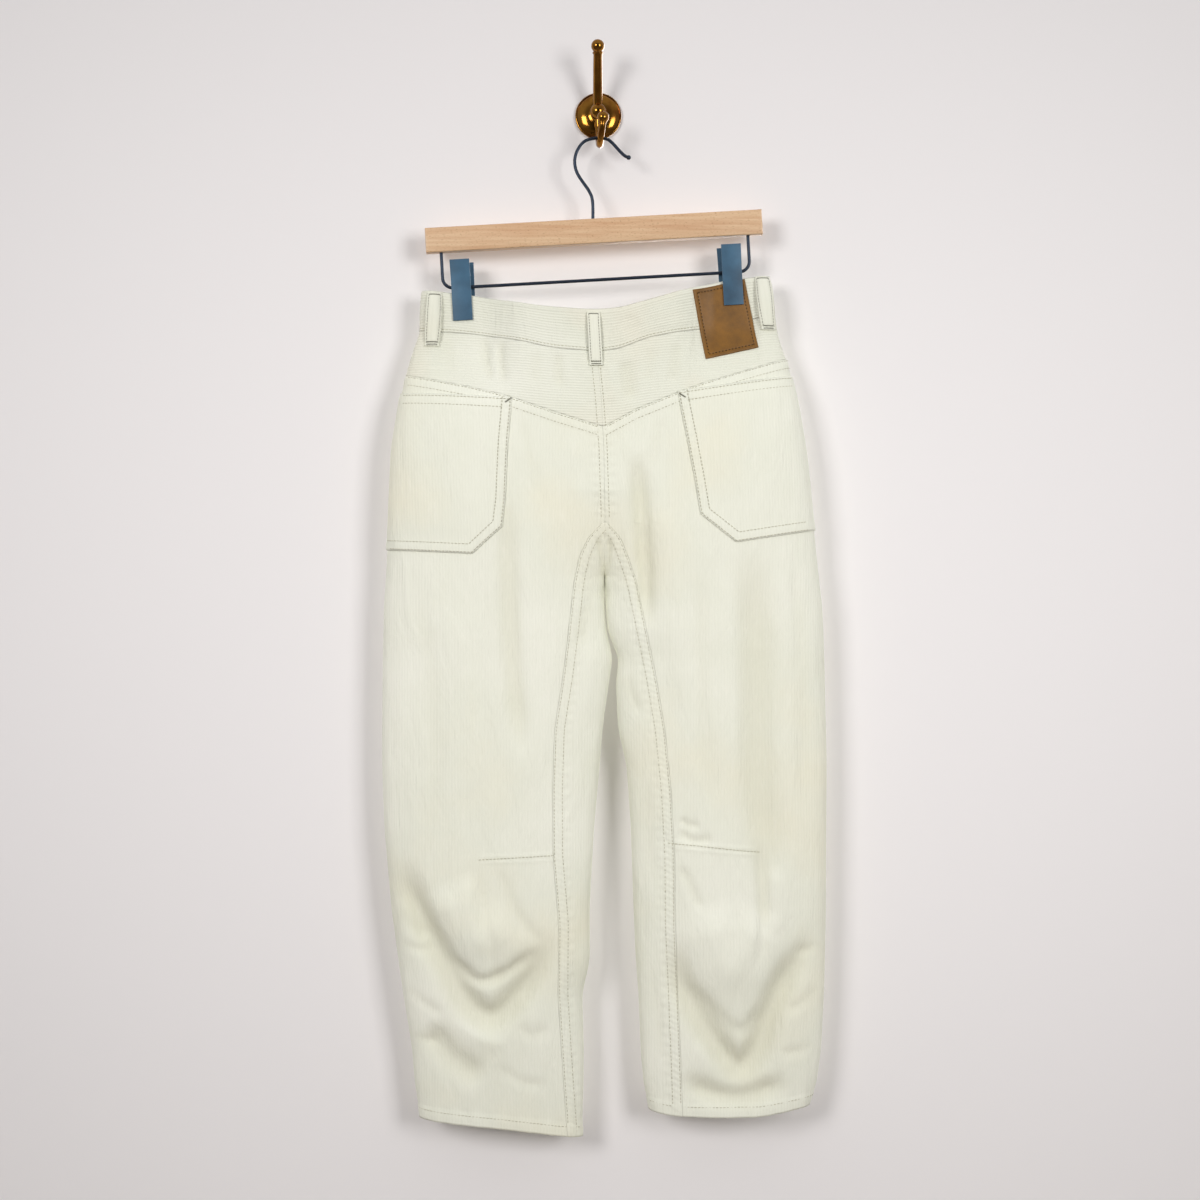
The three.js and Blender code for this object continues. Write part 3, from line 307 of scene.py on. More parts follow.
# Creases of each face: how far each stands out (+) or sinks in (-), half width, its route
CREASES = {
    "back": [
        # Drape of the left thigh below the pocket, and of the seat beside it
        (-5, 10, (-97, -400), (-92, -545), (-86, -628), (-76, -700)),
        (-0.9, 5, (-82, -322), (-74, -360), (-66, -395), (-60, -430)),
        (1.3, 20, (-58, -440), (-60, -560), (-64, -680), (-70, -760)),
        (-1.2, 9, (-20, -520), (-32, -610), (-44, -700), (-50, -760)),
        (-1.1, 10, (-190, -500), (-176, -600), (-170, -700), (-176, -790)),
        (1.2, 14, (-150, -520), (-140, -640), (-132, -740)),
        # Knee bag of the left leg
        (-12, 14, (-222, -790), (-187, -853), (-173, -881), (-159, -906), (-145, -934),
         (-128, -955), (-108, -960), (-87, -941), (-65, -910), (-44, -868)),
        (6, 26, (-165, -820), (-128, -878), (-88, -850)),
        (-5, 7, (-156, -894), (-129, -921), (-101, -917), (-62, -888)),
        (-6, 14, (-184, -970), (-150, -1006), (-116, -1030)),
        (-2.2, 6, (-129, -798), (-122, -840), (-110, -900), (-98, -946)),
        (1.6, 7, (-140, -806), (-133, -850), (-121, -898)),
        (-1.6, 6, (-104, -800), (-92, -836), (-70, -872), (-52, -884)),
        (-1.7, 6, (-214, -850), (-196, -868), (-176, -880)),
        (-1.5, 5, (-210, -882), (-194, -890), (-172, -893)),
        (-1.5, 6, (-206, -930), (-188, -944), (-160, -962)),
        (-1.6, 5, (-203, -984), (-188, -986), (-166, -990)),
        (1.3, 8, (-150, -960), (-124, -984), (-92, -992)),
        (-1.2, 7, (-90, -968), (-70, -980), (-48, -972)),
        (-1.1, 6, (-110, -1010), (-80, -1030), (-50, -1034)),
        # Drape of the right seat and thigh
        (-7, 18, (156, -455), (164, -566), (166, -691), (183, -837)),
        (-8, 9, (40, -366), (46, -451), (50, -500), (51, -560)),
        (2.2, 12, (70, -400), (76, -480), (82, -560), (90, -640)),
        (-1.3, 10, (105, -480), (108, -580), (112, -680), (118, -760)),
        (1.4, 14, (136, -480), (138, -600), (142, -720)),
        (-1.5, 8, (200, -470), (212, -560), (216, -660), (214, -760)),
        (-1.0, 5, (66, -330), (60, -365), (56, -392)),
        # Knee bag of the right leg
        (-12, 14, (78, -866), (86, -919), (98, -946), (118, -980), (144, -1014), (164, -1000),
         (180, -958), (201, -912), (236, -866)),
        (6, 26, (110, -840), (138, -908), (180, -846)),
        (-2.5, 9, (100, -930), (128, -962), (152, -974), (172, -948)),
        (-6, 11, (88, -1018), (110, -1038), (150, -1046), (204, -1028)),
        (-4, 7, (168, -770), (172, -826), (172, -880), (164, -925)),
        (1.8, 7, (184, -800), (190, -840), (189, -880)),
        (-1.8, 4.5, (84, -752), (96, -760), (108, -758)),
        (-1.9, 5, (82, -764), (100, -776), (122, -772)),
        (-1.6, 5, (84, -800), (96, -822), (108, -850)),
        (-1.6, 6, (236, -884), (220, -892), (204, -892)),
        (-1.5, 6, (234, -930), (216, -946), (196, -958)),
        (-1.4, 6, (230, -990), (212, -998), (190, -1000)),
        (1.4, 8, (100, -985), (126, -1014), (160, -1012)),
        (-1.2, 6, (96, -1036), (120, -1046), (142, -1044)),
        # Pull of the crotch point on the two strips beside the centre
        (-6, 2.8, (-2.4, -456), (1.4, -468), (4.4, -484), (6.2, -504)),
        (-6, 2.8, (13.4, -456), (11.8, -466), (10.6, -482), (7.4, -504)),
        (-1.8, 6, (-8, -520), (-14, -545), (-18, -574)),
        (-2.2, 6, (27, -600), (34, -624), (42, -646)),
        (1.4, 7, (0, -560), (-6, -610), (-12, -650)),
        (-1.6, 8, (44, -700), (52, -760), (54, -830)),
        (-1.4, 7, (-14, -820), (-20, -880), (-22, -950)),
        (-1.3, 6, (56, -900), (62, -960), (66, -1020)),
        # Yoke, drawn in under the waistband
        (-2.4, 4.5, (-121, -243), (-119, -268), (-113, -296)),
        (-2.4, 4, (-104, -246), (-103, -270), (-99, -301)),
        (1.0, 4, (-112, -246), (-111, -270), (-106, -298)),
        (-2.2, 5, (-41, -262), (-42, -284), (-40, -306)),
        (-1.0, 6, (-64, -262), (-66, -284), (-66, -300)),
        (-2.6, 8, (27, -270), (31, -296), (34, -318)),
        (1.1, 6, (14, -272), (15, -300), (16, -320)),
        (-2.0, 6, (83, -250), (80, -276), (78, -300)),
        (-1.0, 5, (56, -256), (55, -276), (52, -298)),
        (-1.1, 6, (-160, -246), (-158, -266), (-152, -288)),
    ],
    # Waistband, between its loops
    "band": [
        (-1.1, 6, (-36, -226), (-30, -240), (-28, -256)),
        (-1.0, 6, (30, -222), (36, -236), (34, -252)),
        (0.8, 9, (60, -214), (66, -226), (66, -240)),
        (-0.9, 5, (-22, -226), (-18, -242), (-17, -258)),
    ],
    # The front, which faces the wall
    "front": [
        (-5, 16, (-205, -560), (-165, -690), (-150, -780)),
        (-5, 17, (-60, -700), (-105, -800), (-170, -850)),
        (-4, 14, (-180, -950), (-110, -985), (-50, -960)),
        (-5, 16, (215, -560), (180, -680), (172, -770)),
        (-5, 16, (75, -720), (120, -815), (190, -850)),
        (-4, 14, (80, -975), (140, -1005), (205, -965)),
        (-4, 12, (-20, -380), (-75, -430), (-130, -450)),
        (-4, 12, (30, -385), (85, -432), (140, -450)),
        (-2, 8, (-30, -460), (-80, -500), (-140, -520)),
        (-1.8, 8, (40, -470), (90, -512), (150, -530)),
        (-2, 7, (-170, -820), (-130, -880), (-80, -905)),
        (-2, 7, (190, -820), (150, -880), (96, -900)),
        (1.6, 10, (-120, -600), (-112, -680), (-118, -750)),
        (1.6, 10, (128, -590), (120, -680), (128, -760)),
        (-1.6, 7, (-70, -1010), (-110, -1030), (-150, -1020)),
        (-1.6, 7, (100, -1020), (140, -1036), (190, -1020)),
        (-1.3, 6, (-60, -290), (-66, -330), (-80, -370)),
        (-1.3, 6, (66, -285), (72, -330), (84, -372)),
    ],
}


def spline(points, pieces=8):
    """A smooth route through points, as a Catmull-Rom spline."""
    p = np.array(points, float)
    p = np.vstack([2 * p[0] - p[1], p, 2 * p[-1] - p[-2]])
    t = (np.arange(pieces) / pieces)[:, None]
    out = []
    for a, b, c, d in zip(p[:-3], p[1:-2], p[2:-1], p[3:]):
        bend = (2 * a - 5 * b + 4 * c - d) * t ** 2 + (3 * b - a - 3 * c + d) * t ** 3
        out.append(0.5 * (2 * b + (c - a) * t + bend))
    return np.vstack([*out, p[-2:-1]])


def near_route(route, x, z):
    """For each place: distance to the route, its sign, and how far along the route it is."""
    gap = np.full(x.shape, 1e9)
    signed, along = np.zeros(x.shape), np.zeros(x.shape)
    run = 0.0
    for (ax, az), (bx, bz) in zip(route[:-1], route[1:]):
        length = math.hypot(bx - ax, bz - az)
        ux, uz = (bx - ax) / length, (bz - az) / length
        reach = np.clip((x - ax) * ux + (z - az) * uz, 0, length)
        d = np.hypot(x - ax - reach * ux, z - az - reach * uz)
        closer = d < gap
        gap = np.where(closer, d, gap)
        signed = np.where(closer, d * np.sign((x - ax) * uz - (z - az) * ux), signed)
        along = np.where(closer, run + reach, along)
        run += length
    return gap, signed, along, run


CREASE_ROUTES = {
    face: [(rise, width, spline(route, 4)) for rise, width, *route in rows]
    for face, rows in CREASES.items()
}
TAPER = 0.25


def crease_rise(face, x, z):
    rise = np.zeros(x.shape)
    for height, width, route in CREASE_ROUTES[face]:
        low, high = route.min(axis=0) - 3 * width, route.max(axis=0) + 3 * width
        near = (x > low[0]) & (x < high[0]) & (z > low[1]) & (z < high[1])
        if near.any():
            gap, _, along, length = near_route(route, x[near], z[near])
            ends = smooth(along / length / TAPER) * smooth((1 - along / length) / TAPER)
            rise[near] += height * ends * bell(gap, width)
    return rise


# Where the clips press: half width of the jaws, half depths of the cloth in them and at the
# corners of the waist, and how far from the jaws it opens again
JAW_REACH = 20
HELD_DEPTH = 2.6
CORNER_DEPTH = 8.0
OPENS_OUTWARD = 11.0
OPENS_INWARD = 50.0
OPENS_BELOW = 85


def gripped(side, depth, x, z):
    """How far a face stands from the middle plane where the clips press the waist flat."""
    beside = (x - SIDES[side]["clip"]) * SIDES[side]["sign"]
    free = np.where(beside > 0, CORNER_DEPTH, depth)
    opening = np.where(beside > 0, OPENS_OUTWARD, OPENS_INWARD)
    away = smooth((np.abs(beside) - JAW_REACH) / opening)
    held = HELD_DEPTH + (free - HELD_DEPTH) * away
    return depth + (np.minimum(held, depth) - depth) * fade(SIDES[side]["jaw_end"] - z, OPENS_BELOW)


# The plane midway between back and front, by height. Above the saddle of the crotch the legs
# open into one hollow, over a height that differs from back to front.
MIDDLE_PLANE = ((-1092, -450, -236), (-36, -37, HANGER_Y))
BACK_OPENING = 90.0
FRONT_OPENING = 64.0
PARTED = 1.9
PARTED_Z = -517
INNERMOST = 0.99999


def cloth_points(side, z, turn):
    """Outer surface of the cloth on one half. Turn 0 is the inner edge of the back face,
    half a turn the outer edge, and from there to a full turn is the front face."""
    middle, reach = half_section(side, z)
    turn = np.where(turn > FULL_TURN, turn - FULL_TURN, turn)
    across = np.cos(turn)
    on_back = turn <= HALF_TURN
    # The two strips part a little just below the crotch point, in front of the front panels.
    parted = PARTED * bell(z - PARTED_Z, 10) * smooth((across - 0.8) / 0.15)
    parted = np.where(on_back & (across < INNERMOST), parted, 0)
    x = middle + reach * across + SIDES[side]["sign"] * parted
    opening = np.where(on_back, BACK_OPENING, FRONT_OPENING)
    open_share = np.clip((z - SADDLE_Z) / opening, 0, 1)
    closing = np.where(across > 0, 1 - open_share, 1)
    squared = np.abs(across) ** at_level("square", z)
    full = np.where(on_back, at_level("back", z), at_level("front", z))
    depth = gripped(side, full, x, z) * np.sqrt(np.maximum(0, 1 - closing * squared))
    edge_fade = smooth((1 - np.abs(across)) / 0.3)
    inner_fade = np.where(across > 0, np.maximum(edge_fade, open_share), edge_fade)
    back_rise = crease_rise("back", x, z) + crease_rise("band", x, z)
    rise = np.where(on_back, back_rise, crease_rise("front", x, z)) * inner_fade
    y = np.interp(z, *MIDDLE_PLANE) + np.where(on_back, -1, 1) * (depth + rise)
    return np.stack([x, y, z], axis=-1)


# Step of turn between which a slope is measured
NUDGE = 0.02


def cloth_normals(side, z, turn):
    low_turn = np.where((turn > FULL_TURN) | (turn < NUDGE), turn, turn - NUDGE)
    high_turn = np.where(np.abs(turn - FULL_TURN) < NUDGE, turn, turn + NUDGE)
    around = cloth_points(side, z, high_turn) - cloth_points(side, z, low_turn)
    up = cloth_points(side, z + 1.0, turn) - cloth_points(side, z - 1.0, turn)
    return unit(np.cross(around, up) * SIDES[side]["sign"])


FRONT_DROP = 12
FRONT_DROP_REACH = 132


def front_drop(x, turn):
    """How much lower the waist runs at the front than at the back."""
    drop = FRONT_DROP * np.maximum(0, 1 - (x / FRONT_DROP_REACH) ** 2)
    return np.where(turn > HALF_TURN, drop, 0)


# The lines that bound the zones of the cloth, from the waist to the hem
LINES = (
    lambda x, turn: at_width("waist_top", x) - front_drop(x, turn),
    lambda x, turn: at_width("band_seam", x) - front_drop(x, turn),
    lambda x, turn: at_width("yoke_seam", x),
    lambda x, turn: np.full(x.shape, float(CROTCH_Z)),
    lambda x, turn: np.full(x.shape, float(SADDLE_Z)),
    lambda x, turn: at_width("hem", x),
)


def inseam_turn(side, z):
    x = np.interp(z, *INSEAM_TABLES[side])
    return np.where(z >= CROTCH_Z, 0, turn_at(side, z, x))


# Where the heights of the lines are taken for spacing the rows
SAMPLE_X = 100.0


def rows_between(first, last, lines=LINES, pitch=2.0, first_share=0.0):
    rows = []
    place = np.array([SAMPLE_X])
    for zone in range(first, last):
        tall = float((lines[zone](place, place * 0) - lines[zone + 1](place, place * 0))[0])
        count = max(2, math.ceil(tall / pitch))
        shares = np.linspace(first_share if zone == first else 0.0, 1, count + 1)
        rows += [(zone, share) for share in (shares if zone == first else shares[1:])]
    return rows


def spread(width, edge_pitch, middle_pitch, edge=16):
    """Shares of a width, close together along both edges and further apart between."""
    near = np.arange(0, edge, edge_pitch)
    inside = np.linspace(edge, width - edge, max(2, round((width - 2 * edge) / middle_pitch)))
    return np.concatenate([near, inside, width - near[::-1]]) / width


GIRTH_STEPS = 161
MEAN_DEPTH = 25


def lay_grid(side, rows, start, end, shares, lines=LINES):
    """Heights, turns, points and normals of a grid of cloth. Each row runs round the section
    from one turn to another, and its corners are set by length of cloth."""
    start, end = (t if callable(t) else partial(np.full_like, fill_value=t) for t in (start, end))
    zones = np.array([zone for zone, _ in rows])
    row_shares = np.array([share for _, share in rows])[:, None]
    at = np.array([SIDES[side]["sign"] * SAMPLE_X])
    table = np.stack([line(at, np.zeros(1))[0] for line in lines])
    level = table[zones] + (table[zones + 1] - table[zones]) * row_shares[:, 0]
    fine = np.linspace(0, 1, GIRTH_STEPS)
    places = np.empty((len(rows), len(shares)))
    for i, z in enumerate(level):
        z_all = np.full(fine.shape, z)
        turns = start(z_all) + fine * (end(z_all) - start(z_all))
        middle, reach = half_section(side, z_all)
        across = np.cos(turns)
        round_out = np.sqrt(np.maximum(0, 1 - np.abs(across) ** at_level("square", z_all)))
        depth = MEAN_DEPTH * round_out * np.where(turns <= HALF_TURN, -1, 1)
        length = run_length(np.hypot(np.diff(middle + reach * across), np.diff(depth)))
        places[i] = np.interp(shares, length / length[-1], fine)
    z = np.repeat(level[:, None], len(shares), axis=1)
    # Each round reads the lines at the widths that the round before it found.
    for _ in range(6):
        turn = start(z) + places * (end(z) - start(z))
        middle, reach = half_section(side, z)
        x = middle + reach * np.cos(turn)
        ends = [np.empty_like(z), np.empty_like(z)]
        for k in range(2):
            for zone in set(zones.tolist()):
                here = zones == zone
                ends[k][here] = lines[zone + k](x[here], turn[here])
        z = ends[0] + (ends[1] - ends[0]) * row_shares
    turn = start(z) + places * (end(z) - start(z))
    return z, turn, cloth_points(side, z, turn), cloth_normals(side, z, turn)


def proud(points, normals, height):
    return points + normals * np.asarray(height)[..., None]


def draw_in(points, *edges):
    """Moves the named edges of a grid in by half the seam gap."""
    columns = points.swapaxes(0, 1)
    lines = {"top": (points, 0, 1), "bottom": (points, -1, -2),
             "start": (columns, 0, 1), "end": (columns, -1, -2)}
    for grid, edge, inside in (lines[name] for name in edges):
        grid[edge] += unit(grid[inside] - grid[edge]) * SEAM_GAP / 2
    return points


def numbered(shape, first=0):
    return first + np.arange(math.prod(shape[:2])).reshape(shape[:2])


def grid_faces(index, flip):
    a, b, c, d = index[:-1, :-1], index[:-1, 1:], index[1:, 1:], index[1:, :-1]
    return np.stack([a, b, c, d] if flip else [a, d, c, b], axis=-1).reshape(-1, 4)


def cut_coordinates(z, turn, points):
    """Each corner's place on the flat cloth: along the width by length of cloth, and height."""
    step = np.linalg.norm(np.diff(points[..., :2], axis=1), axis=-1)
    along = np.concatenate([np.zeros((len(points), 1)), np.cumsum(step, axis=1)], axis=1)
    heading = np.sign(np.mean(np.diff(points[..., 0], axis=1)))
    middle = np.argmin(np.abs(np.cos(turn)), axis=1)
    row = np.arange(len(points))
    across = (along - along[row, middle][:, None]) * (heading or 1)
    return np.stack([across + points[row, middle, 0][:, None], z], axis=-1)


def new_mesh(name, points, faces):
    mesh = bpy.data.meshes.new(name)
    mesh.from_pydata((np.asarray(points) * MM).tolist(), [], faces)
    return mesh


def as_piece(mesh, material, node=None):
    """Makes the mesh a piece on the fixed body, in the place of a node's solid if one is named."""
    mesh.materials.append(material)
    made = bpy.data.objects.new(mesh.name, mesh)
    scene.collection.objects.link(made)
    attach(made, "root")
    if node:
        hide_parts(node)
    return made


# Crease depth over which the painted shade in the hollows of the folds builds up
CREASE_SHADE_DEPTH = 5


def shell(name, node, slot, points, normals, faces, flat_places, wall, material, sunk=None):
    """A closed wall: the outer side as given, the inner side a wall's thickness behind it,
    and a flat cut edge all round."""
    used, faces = np.unique(faces, return_inverse=True)
    faces = faces.reshape(-1, 4)
    outer = points.reshape(-1, 3)[used]
    wall = np.broadcast_to(wall, points.shape[:-1]).ravel()[used]
    inner = proud(outer, normals.reshape(-1, 3)[used], -wall)
    count = len(outer)
    edges = np.concatenate([faces[:, [k, (k + 1) % 4]] for k in range(4)])
    keys, turned_keys = edges @ (count, 1), edges @ (1, count)
    a, b = edges[~np.isin(keys, turned_keys)].T
    rim_faces = np.stack([b, a, a + count, b + count], axis=-1)
    every = np.concatenate([faces, faces[:, ::-1] + count, rim_faces])
    mesh = new_mesh(name, np.concatenate([outer, inner]), every.tolist())
    mesh.polygons.foreach_set("use_smooth", np.arange(len(every)) < 2 * len(faces))
    corners = np.empty(len(mesh.loops), np.int32)
    mesh.loops.foreach_get("vertex_index", corners)
    places = np.tile(flat_places.reshape(-1, 2)[used], (2, 1)) * MM
    layer = mesh.uv_layers.new(name="cut")
    layer.data.foreach_set("uv", places[corners].astype(np.float32).ravel())
    # Painted shade: each corner keeps how deep its crease sinks, and the cloth's material darkens
    # the hollows of the folds by it.
    if sunk is not None:
        depth = 1 - np.exp(-np.maximum(0, -sunk.ravel()[used]) / CREASE_SHADE_DEPTH)
        painted_crease_shade = mesh.attributes.new("painted_crease_shade", "FLOAT", "POINT")
        painted_crease_shade.data.foreach_set("value", np.tile(depth, 2).astype(np.float32))
    return as_piece(mesh, material, node)


def cloth_piece(name, node, side, grid, rise, cotton, edges, sunk=None, flat=None, inner=None):
    """One grid of cloth: raised, drawn in at its seams and closed behind."""
    z, turn, points, normals = grid
    flat = cut_coordinates(z, turn, points) if flat is None else flat
    outer = draw_in(proud(points, normals, rise), *edges)
    walls = CLOTH_WALL + rise
    if inner is not None:
        walls = np.linalg.norm(outer - proud(points, normals, inner), axis=-1)
    faces = grid_faces(numbered(z.shape), SIDES[side]["sign"] < 0)
    return shell(name, node, "cloth", outer, normals, faces, flat, walls, cotton, sunk)


# Ribbed cotton: carded yarn woven with fine cords, undyed, washed. It gives a dry, matt
# surface with soft light lines along the cords, slubs, and a slight fuzz at grazing light.
# Painted shade darkens the furrows between the cords and the hollows of the folds.
# The real cords are 2.2 mm apart on the yokes and finer on the legs. They are drawn coarser,
# 2.8 mm apart on yokes and waistband and 3.2 mm on the rest, as a picture of the whole
# garment shows nothing closer.
# Width of one band of the wave texture at scale 1, and the stretch of slubs along a cord
BAND_WAVE = 0.31416
ALONG_CORD = 0.12


def tinted(tree, colour, share, tint):
    inputs = {"Fac": share, "Color1": colour, "Color2": linear(tint)}
    return add(tree, "ShaderNodeMixRGB", inputs)


def ramp(tree, share, *stops):
    """Colours along a share, from stops of place and colour."""
    socket = add(tree, "ShaderNodeValToRGB", {"Fac": share})
    elements = socket.node.color_ramp.elements
    for end in (0, -1):
        elements[end].position, elements[end].color = stops[end][0], linear(stops[end][1])
    for place, colour in stops[1:-1]:
        elements.new(place).color = linear(colour)
    return socket


def ribbed_cotton(name, cord_direction, pitch, cord_height, furrow_shade, tints):
    material, tree, body = new_material(name)
    flat = add(tree, "ShaderNodeUVMap", uv_map="cut")
    waves = {"Scale": BAND_WAVE / (pitch * MM), "Distortion": 1.1, "Detail": 2, "Detail Scale": 0.16}
    cords = add(tree, "ShaderNodeTexWave", {"Vector": flat, **waves}, "Fac",
                wave_type="BANDS", bands_direction=cord_direction)
    drawn_out = (1, ALONG_CORD, 1) if cord_direction == "X" else (ALONG_CORD, 1, 1)
    along = add(tree, "ShaderNodeMapping", {"Vector": flat, "Scale": drawn_out})
    slubs = noise(tree, along, 260, 3)
    wash = ramp(tree, noise(tree, body, 5.5, 4), *zip((0.3, 0.46, 0.7), tints))
    # Painted shade: the furrows between the cords are tinted darker.
    furrow_shaded = tinted(tree, wash, ranged(tree, cords, 0.0, 0.5, furrow_shade, 0.0), "C6C7B4")
    # Painted shade: the hollows of the folds are tinted a little warmer and darker, more where a
    # crease sinks deeper.
    painted_crease_shade = add(tree, "ShaderNodeAttribute", out="Fac", attribute_name="painted_crease_shade")
    crease_shaded = tinted(tree, furrow_shaded, reckon(tree, "MULTIPLY", painted_crease_shade, 0.5), "CFCDB5")
    coloured = tinted(tree, crease_shaded, ranged(tree, slubs, 0.56, 0.8, 0.0, 0.22), "F6F4E8")
    drape_way = add(tree, "ShaderNodeMapping", {"Vector": body, "Scale": (1, 1, 0.28)})
    drape = noise(tree, drape_way, 48, 4, Roughness=0.55, Distortion=0.5)
    rumpled = bump(tree, drape, 0.9, 0.003)
    woven = bump(tree, noise(tree, flat, 900, 3), 0.35, 0.0002, rumpled)
    slubbed = bump(tree, slubs, 0.5, 0.00025, woven)
    corded = bump(tree, cords, 0.9, cord_height * MM, slubbed)
    shaded(tree, coloured, corded, Roughness=0.92, IOR=1.5, Specular_IOR_Level=0.25,
           Sheen_Weight=0.12, Sheen_Roughness=0.6)
    return material


upright_tints = ("E6E4D1", "E4E5D6", "ECECE0")
level_tints = ("E5E0CE", "E2E3D4", "EAEADE")
leg_cotton = ribbed_cotton("ribbed_cotton_upright", "X", 3.2, 0.13, 0.08, upright_tints)
level_cotton = ribbed_cotton("ribbed_cotton_level", "Y", 2.8, 0.34, 0.2, level_tints)

# Flat-felled seams: the allowances are folded into each other under two rows of stitches,
# so a band stands up between the rows and is drawn into slanting puckers.
STITCH_GAP = 8.5
EDGE_STITCH = 1.5
FELL_MIDDLE = EDGE_STITCH + STITCH_GAP / 2
STITCH_DIP = 0.9
HEM_STITCH = 10.6
HEM_FOLD = 11.6
# The band between the rows, its puckers, and the cloth drawn in just outside it
FELL_HEIGHT = 0.55
FELL_REACH = 4.6
PUCKER_LENGTH = 6.6
ROW_DEPTH = 0.3
DRAWN_HEIGHT = 0.22
DRAWN_REACH = 8.5
DRAWN_LENGTH = 11
# The fold of a dart, its ripple, and the length over which it runs out
DART_FOLD = 0.6
DART_DIP = 0.5
DART_RIPPLE = 0.35
DART_RIPPLE_LENGTH = 9
DART_FADE = 12
HEM_RISE = 0.8
HEM_DIP = 0.45
HEM_RIPPLE = 0.25


def centre_seam(z):
    """The seam leans a little to the left, up from the crotch."""
    return at_level("left_in", z) + 0.65 - 2.8 * np.clip((z - CROTCH_Z) / 150, 0, 1)


def level_line(name, xs, drop):
    return [(float(x), float(at_width(name, x) - drop)) for x in xs]


def inseam_line(side, inset_by, step=8):
    zs = np.arange(-447, at_width("hem", INSEAM_TABLES[side][1][0]) + 2, -step)
    xs = np.interp(zs, *INSEAM_TABLES[side]) - SIDES[side]["sign"] * inset_by
    return list(zip(xs.tolist(), zs.tolist()))


FELLED = {
    "yoke_left": level_line("yoke_seam", np.arange(-214, 5, 8), FELL_MIDDLE),
    "yoke_right": level_line("yoke_seam", np.arange(8, 216, 8), FELL_MIDDLE),
    "inseam_left": inseam_line("left", FELL_MIDDLE),
    "inseam_right": inseam_line("right", FELL_MIDDLE),
    "centre": [(centre_seam(z), z) for z in np.arange(-222.0, -446, -8)],
    "front": [(at_level("left_in", z), z) for z in np.arange(-270.0, -436, -8)],
}
DARTS = {
    "left": [(-46.5, -793), (-80, -794.6), (-127.8, -795.5)],
    "right": [(72.4, -780), (118, -784), (169.9, -788)],
}


def felled_rise(seam, x, z, pucker=0.3):
    """Rise of a felled seam: a puckered band, with a dip under each row of stitches."""
    _, signed, along, length = near_route(FELLED[seam], x, z)
    gap = np.abs(signed)
    ends = smooth((along + 3) / 6) * smooth((length - along + 3) / 6)
    wave = np.sin(along * FULL_TURN / PUCKER_LENGTH + signed * 0.5 + 0.8 * np.sin(along / 17))
    rise = fade(gap - FELL_REACH, 1.6) * ends * (FELL_HEIGHT + pucker * wave)
    rise -= ROW_DEPTH * ends * bell(gap - STITCH_GAP / 2, STITCH_DIP)
    # The cloth just outside the rows is drawn in a little too.
    outside = np.sin(along * FULL_TURN / DRAWN_LENGTH + 1.3 * np.sin(along / 29))
    return rise + DRAWN_HEIGHT * bell(gap - DRAWN_REACH, 4) * ends * outside


def dart_rise(side, x, z):
    gap, _, along, length = near_route(DARTS[side], x, z)
    ripple = DART_RIPPLE * bell(gap, 9) * np.sin(along * FULL_TURN / DART_RIPPLE_LENGTH)
    fold = DART_FOLD * bell(gap - 2.6, 2.0) - DART_DIP * bell(gap, 0.9)
    return smooth((length - along) / DART_FADE) * (fold + ripple)


def hem_rise(x, z):
    above = z - at_width("hem", x)
    ripple = HEM_RIPPLE * np.sin(x / 3.4 + 2 * np.sin(x / 31)) * fade(above - 13, 6)
    folded = HEM_RISE * fade(above - HEM_FOLD, 1.6)
    return folded - HEM_DIP * bell(above - HEM_STITCH, 0.9) + ripple


back_shares = spread(230, edge_pitch=1.35, middle_pitch=3.6)
for side in SIDES:
    inner_edge = partial(inseam_turn, side)
    grid = lay_grid(side, rows_between(2, 5), inner_edge, OUTSEAM_TURN, back_shares)
    z, turn, points, _ = grid
    x = points[..., 0]
    on_front = turn > HALF_TURN
    rise = felled_rise("yoke_" + side, x, z) + felled_rise("centre", x, z, 0.16)
    rise = (rise + dart_rise(side, x, z) + hem_rise(x, z)) * np.where(on_front, 0.4, 1)
    # How far the creases sink, which sets the painted shade in their hollows
    sunk = crease_rise("back", x, z) * np.where(on_front, 0, 1)
    edges = ("top", "start", "end")
    panel = cloth_piece("back_panel_" + side, "back_" + side, side, grid, rise, leg_cotton,
                        edges, sunk)

# Front leg panels
# One panel a side, from the waistband to the hem, and its inner edge is carried round to the
# back of the leg. That strip widens from the crotch point down, and is felled to the back.
front_shares = spread(230, edge_pitch=1.5, middle_pitch=4.2)
strip_shares = np.linspace(0, 1, 30)
strip_rows = rows_between(3, 5, first_share=0.012)
below_saddle = [i for i, (zone, share) in enumerate(strip_rows) if zone == 4 or share > 0.9999]


def joined(main, strip):
    return np.concatenate([part.reshape(-1, *part.shape[2:]) for part in (main, strip)])


